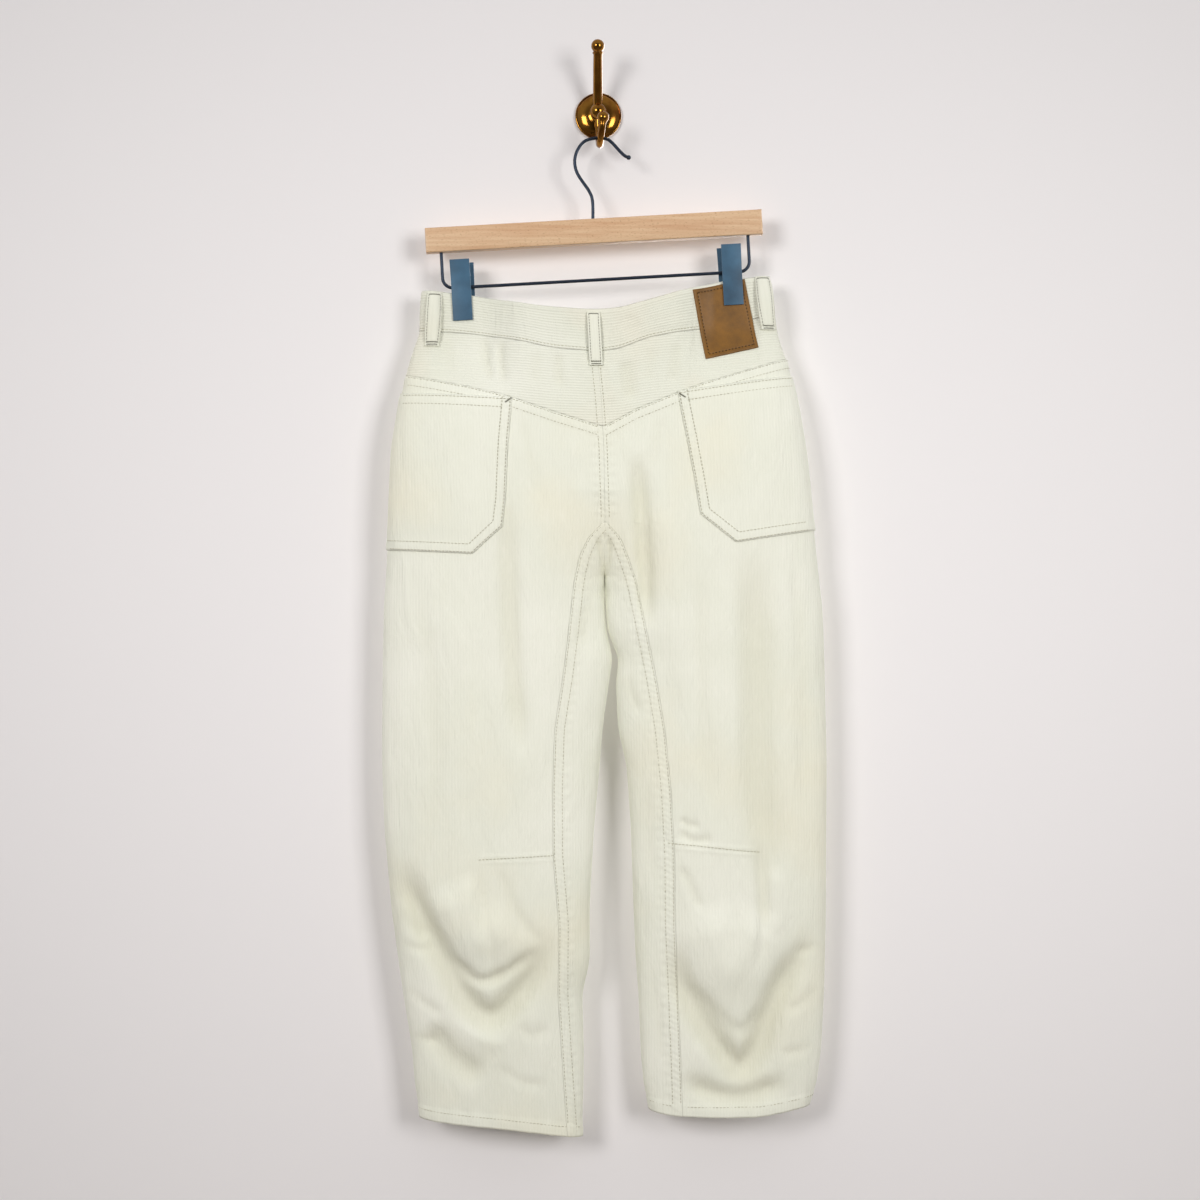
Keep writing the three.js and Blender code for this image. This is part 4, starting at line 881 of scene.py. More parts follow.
for side, place in SIDES.items():
    grid = lay_grid(side, rows_between(1, 5), OUTSEAM_TURN, FULL_TURN, front_shares)
    z, turn, points, normals = grid
    x = points[..., 0]
    rise = hem_rise(x, z) + felled_rise("front", x, z, 0.16)
    strip_grid = lay_grid(side, strip_rows, 0, partial(inseam_turn, side), strip_shares)
    strip_z, strip_turn, strip_points, strip_normals = strip_grid
    strip_x = strip_points[..., 0]
    strip_rise = felled_rise("inseam_" + side, strip_x, strip_z) + hem_rise(strip_x, strip_z)
    face = numbered(z.shape)
    strip = numbered(strip_z.shape, z.size)
    strip[below_saddle, 0] = face[-len(below_saddle):, -1]
    flip = place["sign"] < 0
    outer = joined(draw_in(proud(points, normals, rise), "top", "start"),
                   draw_in(proud(strip_points, strip_normals, strip_rise), "end"))
    faces = np.concatenate([grid_faces(face, flip), grid_faces(strip, flip)])
    flat = joined(cut_coordinates(z, turn, points),
                  cut_coordinates(strip_z, strip_turn, strip_points))
    # How far the creases sink, which sets the painted shade in their hollows
    sunk = joined(crease_rise("front", x, z), crease_rise("back", strip_x, strip_z))
    panel = shell("front_panel_" + side, "front_" + side, "cloth", outer,
                  joined(normals, strip_normals), faces, flat,
                  CLOTH_WALL + joined(rise, strip_rise), leg_cotton, sunk)

# Back yokes
# Two pieces that meet in a V at the centre back. Their cords run level, across the cords
# of the legs, and the panels below are felled onto them.
yoke_shares = spread(215, edge_pitch=1.5, middle_pitch=2.8)
for side in SIDES:
    grid = lay_grid(side, rows_between(1, 2), 0, OUTSEAM_TURN, yoke_shares)
    z, turn, points, _ = grid
    x = points[..., 0]
    flat = cut_coordinates(z, turn, points)
    flat[..., 1] -= 0.45 * at_width("band_seam", x)
    rise = felled_rise("centre", x, z, 0.12)
    edges = ("top", "bottom", "end")
    panel = cloth_piece("yoke_panel_" + side, "yoke_" + side, side, grid, rise, level_cotton,
                        edges, crease_rise("back", x, z), flat)

# Waistband
# A straight band of doubled cotton in two halves, joined behind the centre loop, with level
# cords. At the centre front the left end laps over the right end and is buttoned.
BAND_WALL = 3.0
BAND_PROUD = 0.3
LAYER_GAP = 0.3
BAND_WIDTH = 42
BAND_STITCH = 0.93
# Turns on the left half where the lap starts and stands fully off, and on the right its end
LAP_START = 5.3
LAP_FULL = 5.95
LAP_END = 5.55
LAP_COLUMNS = 14
TOP_ROLL = 1.2
BOTTOM_ROLL = 0.3
BAND_DIP = 0.2
BAND_RIPPLE = 0.16
LAP_HEIGHT = BAND_WALL + LAYER_GAP
band_rows = rows_between(0, 1, pitch=1.7)
band_shares = spread(395, edge_pitch=1.5, middle_pitch=3.4)
lap_shares = np.linspace(0, 1, LAP_COLUMNS)


def lap_rise(turn):
    return LAP_HEIGHT * smooth((turn - LAP_START) / (LAP_FULL - LAP_START))


for side in SIDES:
    grid = lay_grid(side, band_rows, 0, FULL_TURN, band_shares)
    lapping = np.zeros(grid[0].shape)
    if side == "left":
        lap = lay_grid("right", band_rows, FULL_TURN - NUDGE, LAP_END, lap_shares)
        lapping = lap_rise(grid[1])
        lapping = np.concatenate([lapping, np.full(lap[0].shape, LAP_HEIGHT)], axis=1)
        grid = [np.concatenate(pair, axis=1) for pair in zip(grid, lap)]
    z, turn, points, normals = grid
    share = np.array([s for _, s in band_rows])[:, None] * np.ones(z.shape)
    rolled = -TOP_ROLL * fade(share, 0.06) - BOTTOM_ROLL * fade(1 - share, 0.035)
    dip = -BAND_DIP * bell(share - BAND_STITCH, 0.02)
    wobble = BAND_RIPPLE * np.sin(points[..., 0] / 5.1) * bell(share - BAND_STITCH, 0.08)
    rise = BAND_PROUD + lapping + rolled + dip + wobble
    flat = cut_coordinates(z, turn, points)
    flat[..., 1] = -BAND_WIDTH * share
    inner = BAND_PROUD + lapping - BAND_WALL
    panel = cloth_piece("waistband_piece_" + side, "waistband_" + side, side, grid, rise,
                        level_cotton, ("bottom",), None, flat, inner)

# Back patch pockets
# Corded cotton laid over the back panels and caught in the side seams. The edges are folded
# under and sewn down with two rows, and the lower inner corner is cut off.
POCKET_WALL = 1.0
FOLD_RISE = 0.3
STAND_OFF = 1.6
SIDE_FOLD = 10.5
TOP_FOLD = 12
SIDE_DIP = 0.4
TOP_DIP = 0.35
POCKET_ROLL = 0.3
POCKET_RIPPLE = 0.16
SIDE_STITCH = (EDGE_STITCH, 10)
TOP_STITCH = (2.4, 11)
POCKET_EDGES = {
    "left": {
        "top": ((-245, -303.6), (-90.4, -311.5)),
        "inner": ((-90.4, -311.5), (-94.4, -358.9), (-97, -418.6), (-100.6, -446.8)),
        "bottom": ((-245, -470.2), (-131.4, -475.6), (-100.6, -446.8)),
    },
    "right": {
        "top": ((82.9, -305.2), (245, -281.0)),
        "inner": ((82.9, -305.2), (92.6, -354.7), (100.8, -398.8), (106.6, -434.3)),
        "bottom": ((106.6, -434.3), (143.7, -463.5), (250, -447.0)),
    },
}
pocket_shares = spread(165, edge_pitch=1.35, middle_pitch=3.2)


def straight_line(route):
    return lambda x, turn=None: np.interp(x, *zip(*route))


def pocket_inner(side, level):
    z, x = zip(*sorted((z, x) for x, z in POCKET_EDGES[side]["inner"]))
    return turn_at(side, level, np.interp(level, z, x))


def outwards(side, route):
    """A route that runs from the centre of the seat to the side."""
    return list(route if side == "right" else route[::-1])


for side in SIDES:
    edges = POCKET_EDGES[side]
    lines = (straight_line(edges["top"]), straight_line(edges["bottom"]))
    rows = rows_between(0, 1, lines, 1.9)
    inner_edge = partial(pocket_inner, side)
    grid = lay_grid(side, rows, inner_edge, OUTSEAM_TURN, pocket_shares, lines)
    z, turn, points, _ = grid
    x = points[..., 0]
    border = [*edges["inner"], *outwards(side, edges["bottom"])[1:]]
    gap, _, along, _ = near_route(border, x, z)
    gap_top = near_route(edges["top"], x, z)[0]
    folds = fade(gap - SIDE_FOLD, 1.5), fade(gap_top - TOP_FOLD, 1.5)
    folded = FOLD_RISE * np.maximum(*folds)
    dips = sum(-SIDE_DIP * bell(gap - row, STITCH_DIP) for row in SIDE_STITCH)
    dips += sum(-TOP_DIP * bell(gap_top - row, STITCH_DIP) for row in TOP_STITCH)
    rolled = -POCKET_ROLL * fade(np.minimum(gap, gap_top), 1.4)
    ripple = POCKET_RIPPLE * np.sin(along * FULL_TURN / 7.5) * fade(gap - 7, 6)
    # A used pocket stands off the seat a little in its middle.
    stand_off = STAND_OFF * smooth(gap / 60) * smooth((OUTSEAM_TURN - turn) / 0.9)
    stand_off = stand_off * smooth((gap_top + 10) / 60)
    rise = LAYER_GAP + POCKET_WALL + folded + dips + rolled + ripple + stand_off
    inner = LAYER_GAP + 0.2 + stand_off * 0.9
    flat = cut_coordinates(z, turn, points)
    flat[..., 0] += 0.03 * z
    pocket = cloth_piece("patch_pocket_" + side, "pocket_" + side, side, grid, rise,
                         leg_cotton, ("end",), None, flat, inner)

# Belt loops
# Folded strips of the same cotton, 14 mm wide and 57 mm long, with two rows of dark stitching
# along them. Bars of stitches tack both ends, and the strip stands off between them.
LOOP_WALL = 1.8
LOOP_HALF_WIDTH = 7
LOOP_LENGTH = 57
LOOP_STITCH = 0.7
LOOP_STAND = 1.9
LOOP_TACK = 0.6
LOOP_CURL = 0.45
CENTRE_LIFT = 0.3
TACK_LEVELS = (0.035, 0.925, 0.972)
# Side, whether on the front, then where the top's middle is and how far the loop leans
BELT_LOOPS = {
    "loop_back_centre": ("centre", False, -5.3, -220.8, 3.1),
    "loop_back_left": ("left", False, -173.9, -198, -3),
    "loop_back_right": ("right", False, 173.9, -180.6, 6.4),
    "loop_front_left": ("left", True, -98, -209, 3),
    "loop_front_right": ("right", True, 96, -195, 3),
}


def on_cloth(side, x, z, front=False):
    """Points and outward directions of the cloth at given widths and heights."""
    x, z = np.asarray(x, float), np.asarray(z, float)
    if side == "centre":
        pick = (x < at_level("left_in", z))[..., None]
        halves = zip(on_cloth("left", x, z, front), on_cloth("right", x, z, front))
        return tuple(np.where(pick, left, right) for left, right in halves)
    turn = turn_at(side, z, x)
    turn = FULL_TURN - turn if front else turn
    points = cloth_points(side, z, turn)
    points[..., 0] = x
    return points, cloth_normals(side, z, turn)


def loop_place(loop, across, down):
    """A place on a loop's face, from its middle line (-1 to 1) and its top (0 to 1)."""
    side, front, middle, top, lean = loop
    x = middle + lean * down + across * LOOP_HALF_WIDTH
    points, normals = on_cloth(side, x, top - LOOP_LENGTH * down, front)
    base = BAND_PROUD + LAYER_GAP + LOOP_WALL
    if side == "centre":
        normals = np.broadcast_to(np.array([0.0, -1.0, 0.0]), points.shape)
        base += CENTRE_LIFT
    arch = np.sin(math.pi * np.clip((down - 0.03) / 0.9, 0, 1))
    stand = LOOP_STAND * np.clip(arch, 0, 1) ** 0.7
    ends = -LOOP_TACK * (bell(down - 0.03, 0.025) + bell(down - 0.95, 0.03))
    curl = -LOOP_CURL * np.abs(across) ** 6 - 0.16 * bell(np.abs(across) - LOOP_STITCH, 0.13)
    return proud(points, normals, base + stand + ends + curl), normals


across, down = np.meshgrid(np.linspace(-1, 1, 19), np.linspace(0, 1, 58))
flat = np.stack([across * LOOP_HALF_WIDTH, -LOOP_LENGTH * down], axis=-1)
for name, loop in BELT_LOOPS.items():
    faces = grid_faces(numbered(across.shape), not loop[1])
    strap = shell("belt_" + name, name, "cloth", *loop_place(loop, across, down), faces, flat,
                  LOOP_WALL, leg_cotton)
    side = "left" if loop[0] == "centre" else loop[0]

# Leather patch
# Vegetable-tanned cowhide, waxed, 57 by 75 mm, sewn to the waistband and yoke. It is smooth
# with a fine grain, darker at its cut edges and where it has been handled.
PATCH_WALL = 1.5
PATCH_CORNERS = np.array([(99.6, -195.7), (155.3, -182.9), (169.8, -256.5), (113.4, -269.6)])
PATCH_SIZE = np.array([57.3, 75.2])
PATCH_STITCH = 4
PATCH_GROOVE = 0.35
PATCH_SWELL = 0.35
PATCH_EDGE_DROP = 0.55


def patch_place(u, v, lift=0.0):
    """A place on the patch's face, from its left edge (0 to 1) and its top edge (0 to 1)."""
    a, b, c, d = (np.multiply.outer(corner, np.ones(u.shape)) for corner in PATCH_CORNERS)
    x, z = (1 - v) * ((1 - u) * a + u * b) + v * ((1 - u) * d + u * c)
    points, normals = on_cloth("right", x, z)
    edge = np.minimum(np.minimum(u, 1 - u) * PATCH_SIZE[0], np.minimum(v, 1 - v) * PATCH_SIZE[1])
    groove = -PATCH_GROOVE * bell(edge - PATCH_STITCH, 0.8)
    swell = PATCH_SWELL * smooth((edge - PATCH_STITCH) / 12)
    height = BAND_PROUD + LAYER_GAP + PATCH_WALL - PATCH_EDGE_DROP * fade(edge, 1.1)
    height = height + groove + swell + lift
    return proud(points, normals, height), normals


# Waxed cowhide: warm tan, cloudy in tone, with fine pores and a soft sheen.
leather, tree, body = new_material("waxed_cowhide")
flat = add(tree, "ShaderNodeUVMap", uv_map="cut")
pores = add(tree, "ShaderNodeTexVoronoi", {"Vector": flat, "Scale": 1100}, "Distance")
hide = noise(tree, body, 60, 6, Roughness=0.65)
edge_wear = add(tree, "ShaderNodeNewGeometry", out="Pointiness")
edge_wear = ranged(tree, edge_wear, 0.5, 0.62, 0.0, 0.75)
tan = tinted(tree, ramp(tree, hide, (0.3, "69460F"), (0.7, "865A12")), edge_wear, "5A3A17")
dents = bump(tree, hide, 0.25, 0.0006, bump(tree, pores, 0.35, 0.00015))
shaded(tree, tan, dents, Roughness=0.52, Specular_IOR_Level=0.45, IOR=1.5)

across, down = np.meshgrid(*(spread(size, 0.6, 1.6, edge=6) for size in PATCH_SIZE))
flat = np.stack([across, -down], axis=-1) * PATCH_SIZE
faces = grid_faces(numbered(across.shape), True)
shell("hide_patch", "leather_patch", "leather", *patch_place(across, down), faces, flat,
      PATCH_WALL, leather)

# Waist button
# Four-hole button cut from horn-coloured polyester resin, 17.6 mm across, with a raised rim.
# It is glossy and a little cloudy. Two short bars of thread run between its four holes.
BUTTON_RADIUS = 8.8
BUTTON_TURN = 5.77
HOLE_REACH = 1.6
HOLE_RADIUS = 0.95
BUTTON_WELL = 1.8
BUTTON_LIFT = 0.75
HOLE_FLOOR = 0.9
STRAND_HEIGHT = 2.25
button_grid = lay_grid("right", [(0, 0.5)], BUTTON_TURN, BUTTON_TURN + 0.01, np.array([0.0]))
button_seat, button_out = (part[0, 0] for part in button_grid[2:])
button_seat = button_seat + button_out * (BAND_PROUD + BAND_WALL + BUTTON_LIFT)
button_right = unit(np.cross((0, 0, 1.0), button_out))
button_axes = np.stack([button_right, np.cross(button_out, button_right), button_out])

# Horn-coloured resin: cloudy layers under a clear gloss.
resin, tree, body = new_material("horn_resin")
cloud = noise(tree, body, 140, 3, Distortion=1.2)
horn = ramp(tree, cloud, (0, "A88E60"), (1, "DCCBA6"))
shaded(tree, horn, Roughness=0.28, IOR=1.54, Coat_Weight=0.3)


def outward(mesh, merge=0):
    """Joins corners closer than merge, and turns all faces outward."""
    shape = bmesh.new()
    shape.from_mesh(mesh)
    if merge:
        bmesh.ops.remove_doubles(shape, verts=shape.verts, dist=merge)
    bmesh.ops.recalc_face_normals(shape, faces=shape.faces)
    shape.to_mesh(mesh)
    shape.free()


def ring_faces(rings, sides):
    """Quads between rings of corners that follow one another."""
    steps = [(i * sides, j, (j + 1) % sides) for i in range(rings - 1) for j in range(sides)]
    return [(i + j, i + k, i + sides + k, i + sides + j) for i, j, k in steps]


# Corners on the axis are closer than this, in metres, and become one.
MERGED = 4e-6


def turned(name, node, slot, profile, sides, place, material):
    """A body of revolution from a closed profile of radius and height. place maps points."""
    radii, heights = np.array(profile, float).T[:, :, None]
    angle = np.arange(sides) * FULL_TURN / sides
    rings = radii * np.cos(angle), radii * np.sin(angle), heights + 0 * angle
    points = place(np.stack(rings, axis=-1).reshape(-1, 3))
    mesh = new_mesh(name, points, ring_faces(len(profile), sides))
    outward(mesh, MERGED)
    mesh.shade_smooth()
    mesh.set_sharp_from_angle(angle=math.radians(38))
    return as_piece(mesh, material, node)


def on_button(points):
    return button_seat + points @ button_axes


def drilled(points):
    """Sinks the corners that lie in the four holes, and sets them on the waistband."""
    inside = np.hypot(*(np.abs(points[:, :2]) - HOLE_REACH).T) < HOLE_RADIUS
    points[inside & (points[:, 2] > 1.0), 2] = HOLE_FLOOR
    return on_button(points)


BUTTON_RIM = ((1e-4, 0), (7.8, 0), (8.6, 0.35), (BUTTON_RADIUS, 1.2), (8.7, 2.0), (8.2, 2.5),
              (7.5, 2.6), (6.8, 2.45), (6.1, 2.0), (5.5, BUTTON_WELL))
well = [(radius, BUTTON_WELL) for radius in (*np.arange(5.2, 0.1, -0.3), 1e-4)]
turned("resin_button", "waist_button", "button", [*BUTTON_RIM, *well], 72, drilled, resin)

# Thread
# Cotton-wrapped polyester topstitching, Tex 60, in grey-beige on the seams and dark grey on
# the loops and bartacks. Rows lie 8.5 mm apart, at about 26 stitches to 100 mm.
STITCH_LENGTH = 3.0
STITCH_PITCH = 3.8
THREAD_SIDES = 5
SEAM_PROUD = 0.4
# A stitch's tips sink in, its two rings lie this share of its length from its middle, and
# its section is a little flattened.
TIP_SINK = 0.15
RING_SHIFT = 0.28
FLATTENED = 0.8


def thread_material(name, shade, light):
    material, tree, body = new_material(name)
    twist = add(tree, "ShaderNodeTexWave", {"Vector": body, "Scale": 420, "Distortion": 0.6},
                "Fac", bands_direction="DIAGONAL")
    colour = ramp(tree, noise(tree, body, 320, 1), (0, shade), (1, light))
    twisted = bump(tree, twist, 0.5, 0.0001)
    shaded(tree, colour, twisted, Roughness=0.7, Specular_IOR_Level=0.35)
    return material


pale_thread = thread_material("pale_topstitching", "AEAB96", "C6C3AF")
dark_thread = thread_material("dark_topstitching", "807F74", "9B998D")
brown_thread = thread_material("brown_topstitching", "2B1B0B", "402A12")


def stitched(line, length=STITCH_LENGTH, pitch=STITCH_PITCH, half_thick=0.36, across=False):
    """Stitches along a line of cloth points: each is a spindle of two tips and two rings."""
    points, normals = line
    along = run_length(np.linalg.norm(np.diff(points, axis=0), axis=1))
    centres = np.arange(pitch / 2, along[-1], pitch)

    def read(values, at):
        return np.stack([np.interp(at, along, column) for column in values.T], axis=-1)

    at, out = read(points, centres), unit(read(normals, centres))
    run = unit(read(points, centres + 0.5) - read(points, centres - 0.5))
    side_way = np.cross(out, run)
    if across:
        run, side_way = side_way, -run
    tips = [at + run * length * end - out * TIP_SINK for end in (-0.5, 0.5)]
    rings = [
        at + run * length * shift
        + half_thick * (side_way * math.cos(angle) + out * FLATTENED * math.sin(angle))
        for shift in (-RING_SHIFT, RING_SHIFT)
        for angle in np.arange(THREAD_SIDES) * FULL_TURN / THREAD_SIDES
    ]
    return np.stack([tips[0], *rings, tips[1]], axis=1)


def spindle_faces(first):
    """Faces of one stitch, from the number of its first corner."""
    faces = []
    for j in range(1, THREAD_SIDES + 1):
        k = j % THREAD_SIDES + 1
        low = [(0, j, k), (j, THREAD_SIDES + j, THREAD_SIDES + k, k)]
        faces += [*low, (THREAD_SIDES + j, 2 * THREAD_SIDES + 1, THREAD_SIDES + k)]
    return [tuple(first + corner for corner in face) for face in faces]


def sew(name, lines, material, **stitch):
    """One piece of thread: the stitches along all the lines."""
    stitches = np.concatenate([stitched(line, **stitch) for line in lines])
    count, corners = stitches.shape[:2]
    faces = [face for i in range(count) for face in spindle_faces(i * corners)]
    mesh = new_mesh(name, stitches.reshape(-1, 3), faces)
    mesh.shade_smooth()
    outward(mesh)
    return as_piece(mesh, material)


def lifted(line, height):
    points, normals = line
    return proud(points, normals, height), normals


def cloth_line(side, route, height=SEAM_PROUD, front=False):
    """A line of places on the cloth, from a route of widths and heights."""
    route = np.array(route, float)
    along = run_length(np.hypot(*np.diff(route, axis=0).T))
    at = np.arange(0, along[-1], 2.0)
    x, z = (np.interp(at, along, column) for column in route.T)
    return lifted(on_cloth(side, x, z, front), height)


def turned_line(side, turns, z_of, height):
    """A line round one half, at the height that z_of gives for each width and turn."""
    z = np.full(turns.shape, -1060.0)
    for _ in range(6):
        middle, reach = half_section(side, z)
        z = z_of(middle + reach * np.cos(turns), turns)
    return lifted((cloth_points(side, z, turns), cloth_normals(side, z, turns)), height)


def inset(route, distance, sign):
    """A route moved sideways, its corners kept sharp."""
    route = np.array(route, float)
    run = unit(np.diff(route, axis=0))
    right = np.stack([run[:, 1], -run[:, 0]], axis=-1) * sign * distance
    mitres = [
        corner + (before + after) / (1 + before @ after / distance**2)
        for before, after, corner in zip(right[:-1], right[1:], route[1:-1])
    ]
    return np.array([route[0] + right[0], *mitres, route[-1] + right[-1]])


def band_stitch_line(x, turn):
    return LINES[0](x, turn) + BAND_STITCH * (LINES[1](x, turn) - LINES[0](x, turn))


SIDE_LEVELS = np.arange(-286, -1056, -4.0)
# Turns from the side seam to its two rows
SIDE_ROWS = (0.06, 0.4)
HEM_TURNS = np.linspace(0.25, 6.05, 220)
BAND_TURNS = np.linspace(0.05, 6.2, 420)
POCKET_OUT = LAYER_GAP + POCKET_WALL + SEAM_PROUD + 0.2
POCKET_SIDE = 221.5
YOKE_STITCHES = {"left": np.arange(3.5, -206, -4), "right": np.arange(7.5, 206, 4)}
TOP_ENDS = {"left": -207, "right": 204}
BARTACKS = {
    "left": ((-97.6, -317.2), (-91.0, -312.6)),
    "right": ((84.6, -307.6), (93.0, -313.0)),
}
for side, place in SIDES.items():
    sign = place["sign"]
    seam_lines = []
    for drop in (EDGE_STITCH, EDGE_STITCH + STITCH_GAP):
        seam_lines.append(cloth_line(side, level_line("yoke_seam", YOKE_STITCHES[side], drop)))
        seam_lines.append(cloth_line(side, inseam_line(side, drop, step=4)))
    dart = [(x, z + lift) for (x, z), lift in zip(DARTS[side], (1.6, 1.6, 0))]
    seam_lines.append(cloth_line(side, dart, SEAM_PROUD + 0.4))
    for row in SIDE_ROWS:
        turns = np.full(SIDE_LEVELS.shape, OUTSEAM_TURN + row)
        line = cloth_points(side, SIDE_LEVELS, turns), cloth_normals(side, SIDE_LEVELS, turns)
        seam_lines.append(lifted(line, 0.35))
    sew("seam_thread_" + side, seam_lines, pale_thread)

    hem_line = turned_line(side, HEM_TURNS, lambda x, turn: at_width("hem", x) + HEM_STITCH, 0.55)
    sew("hem_thread_" + side, [hem_line], pale_thread)

    edges = POCKET_EDGES[side]
    tail = outwards(side, edges["bottom"])
    tail[-1] = (sign * POCKET_SIDE, straight_line(edges["bottom"])(sign * POCKET_SIDE))
    border = [*edges["inner"], *tail[1:]]
    pocket_lines = [
        cloth_line(side, inset(border, row, -sign), POCKET_OUT)
        for row in (EDGE_STITCH, EDGE_STITCH + STITCH_GAP)
    ]
    for drop, in_by in zip(TOP_STITCH, (2, 10)):
        xs = np.linspace(outwards(side, edges["top"])[0][0] + sign * in_by, TOP_ENDS[side], 30)
        route = np.stack([xs, straight_line(edges["top"])(xs) - drop], axis=-1)
        pocket_lines.append(cloth_line(side, route, POCKET_OUT))
    sew("pocket_thread_" + side, pocket_lines, pale_thread)

    tack = cloth_line(side, np.linspace(*BARTACKS[side], 8), POCKET_OUT + 0.1)
    sew("pocket_bartack_" + side, [tack], dark_thread, length=2.0, pitch=0.75, across=True)

    lapping = lap_rise(BAND_TURNS) if side == "left" else 0 * BAND_TURNS
    band_line = turned_line(side, BAND_TURNS, band_stitch_line, BAND_PROUD + lapping + 0.15)
    sew("waistband_thread_" + side, [band_line], pale_thread, half_thick=0.28)

# The centre seam's two rows, on the back and on the front, and the rows that hold the fly.
levels = np.arange(-268, -440, -3.0)
front_levels = np.arange(-280, -432, -3.0)
centre_lines = []
for shift in (-STITCH_GAP / 2, STITCH_GAP / 2):
    back_line = on_cloth("centre", centre_seam(levels) + shift, levels)
    front_line = on_cloth("centre", at_level("left_in", front_levels) + shift, front_levels, True)
    centre_lines += [lifted(back_line, SEAM_PROUD), lifted(front_line, SEAM_PROUD)]
FLY_ROUTE = ((-37, -275), (-37, -330), (-36, -380), (-28, -410), (-8, -427))
FLY_SHIFT = (5.5, 1.5)
fly = spline(FLY_ROUTE, 6)
for route in (fly, fly[:-4] + FLY_SHIFT):
    centre_lines.append(cloth_line("left", route, 0.35, True))
sew("centre_seam_thread", centre_lines, pale_thread)

loop_lines, tack_lines = [], []
down = np.linspace(0.03, 0.95, 30)
across = np.linspace(-0.72, 0.72, 12)
for loop in BELT_LOOPS.values():
    for row in (-LOOP_STITCH, LOOP_STITCH):
        loop_lines.append(lifted(loop_place(loop, row + 0 * down, down), 0.3))
    for level in TACK_LEVELS:
        tack_lines.append(lifted(loop_place(loop, across, level + 0 * across), 0.35))
sew("loop_thread", loop_lines, dark_thread, length=2.6, pitch=3.1, half_thick=0.32)
tack_stitch = {"length": 1.5, "pitch": 0.8, "half_thick": 0.33, "across": True}
sew("loop_bartacks", tack_lines, dark_thread, **tack_stitch)

low = PATCH_STITCH / PATCH_SIZE
high = 1 - low
corners = np.array([low, (high[0], low[1]), high, (low[0], high[1]), low])
share = np.linspace(0, 1, 40)[:, None]
sides = [first + (second - first) * share for first, second in zip(corners[:-1], corners[1:])]
patch_lines = [patch_place(*line.T, 0.15) for line in sides]
sew("patch_thread", patch_lines, brown_thread, length=2.0, pitch=3.6, half_thick=0.5)

STRAND_POINTS = 12
reach = HOLE_REACH * np.linspace(-1.3, 1.3, STRAND_POINTS)
strand_out = np.broadcast_to(button_out, (STRAND_POINTS, 3))
strands = []
for y in (-HOLE_REACH, HOLE_REACH):
    line = np.stack([reach, y + 0 * reach, STRAND_HEIGHT + 0 * reach], axis=-1)
    strands.append((on_button(line), strand_out))
sew("button_thread", strands, pale_thread, length=4.2, pitch=4.0, half_thick=0.5)

# Hanger bar
# Beech, planed and eased at its edges, with clear satin lacquer: straight pale brown grain
# along its length with short dark flecks. The wires are let into holes in it.
HANGER_TILT = math.radians(3.2)
BAR_CENTRE = Vector((-4.8 * MM, HANGER_Y * MM, -132 * MM))
to_hanger = Matrix.Translation(BAR_CENTRE) @ Matrix.Rotation(-HANGER_TILT, 4, "Y")

beech, tree, body = new_material("lacquered_beech")


def along_bar(stretch):
    inputs = {"Vector": body, "Rotation": (0, HANGER_TILT, 0), "Scale": (stretch, 1, 1)}
    return add(tree, "ShaderNodeMapping", inputs)


grain_way = along_bar(0.045)
growth = noise(tree, grain_way, 330, 5, Roughness=0.6)
figure = reckon(tree, "MULTIPLY", noise(tree, grain_way, 60), 0.45)
wood = ramp(tree, reckon(tree, "ADD", growth, figure), (0.5, "C89E78"), (0.9, "DABA95"))
flecks = ranged(tree, noise(tree, along_bar(0.22), 1500, 0), 0.64, 0.76, 0.0, 0.5)
pored = bump(tree, growth, 0.25, 0.0002)
shaded(tree, tinted(tree, wood, flecks, "9C7048"), pored, Roughness=0.45, IOR=1.5,
       Coat_Weight=0.15, Coat_Roughness=0.3)


def refined(node, name, material, width):
    """A copy of a fixed node's solid with its edges eased."""
    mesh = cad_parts[node].data.copy()
    mesh.name = name
    mesh.materials.clear()
    shape = bmesh.new()
    shape.from_mesh(mesh)
    bmesh.ops.remove_doubles(shape, verts=shape.verts, dist=1e-6)
    flat_angle, sharp_angle = math.radians(0.5), math.radians(30)
    bmesh.ops.dissolve_limit(shape, angle_limit=flat_angle, verts=shape.verts, edges=shape.edges)
    shared = [edge for edge in shape.edges if len(edge.link_faces) == 2]
    sharp = [edge for edge in shared if edge.calc_face_angle() > sharp_angle]
    bmesh.ops.bevel(shape, geom=sharp, offset=width * MM, segments=3, profile=0.6,
                    affect="EDGES", clamp_overlap=True)
    bmesh.ops.triangulate(shape, faces=[face for face in shape.faces if len(face.verts) > 4])
    shape.to_mesh(mesh)
    shape.free()
    mesh.shade_smooth()
    mesh.set_sharp_from_angle(angle=math.radians(35))
    return as_piece(mesh, material, node)


refined("hanger_bar", "beech_bar", beech, 0.5)

# Hanger wires
# Mild steel wire, 3.5 mm, drawn and plated dark: a hook with a ball at its end, and one wire
# bent into the two drops and the rod that carries the clips.
WIRE_RADIUS = 1.75
HOOK_ROUTE = ((-5.2, -129), (-5.7, -118.5), (-6.2, -99.2), (-10.0, -88.5), (-21.8, -70.9),
              (-25.1, -58.7), (-23.6, -48.4), (-18.8, -39.6), (-12.9, -34.7), (-4.7, -32.5),
              (1.7, -32.1), (9.6, -33.5), (15.5, -38.0), (21.5, -44.7), (27.5, -50.6),
              (32.3, -52.9))
ROD_DROP = 51.3
DROP_REACH = 163.5
ROD_BEND = 11

plated, tree, body = new_material("dark_plated_steel")
drawn = noise(tree, body, 900)
shaded(tree, ramp(tree, drawn, (0, "272E3A"), (1, "3B4452")), Metallic=0.85,
       Roughness=ranged(tree, drawn, 0, 1, 0.3, 0.5))


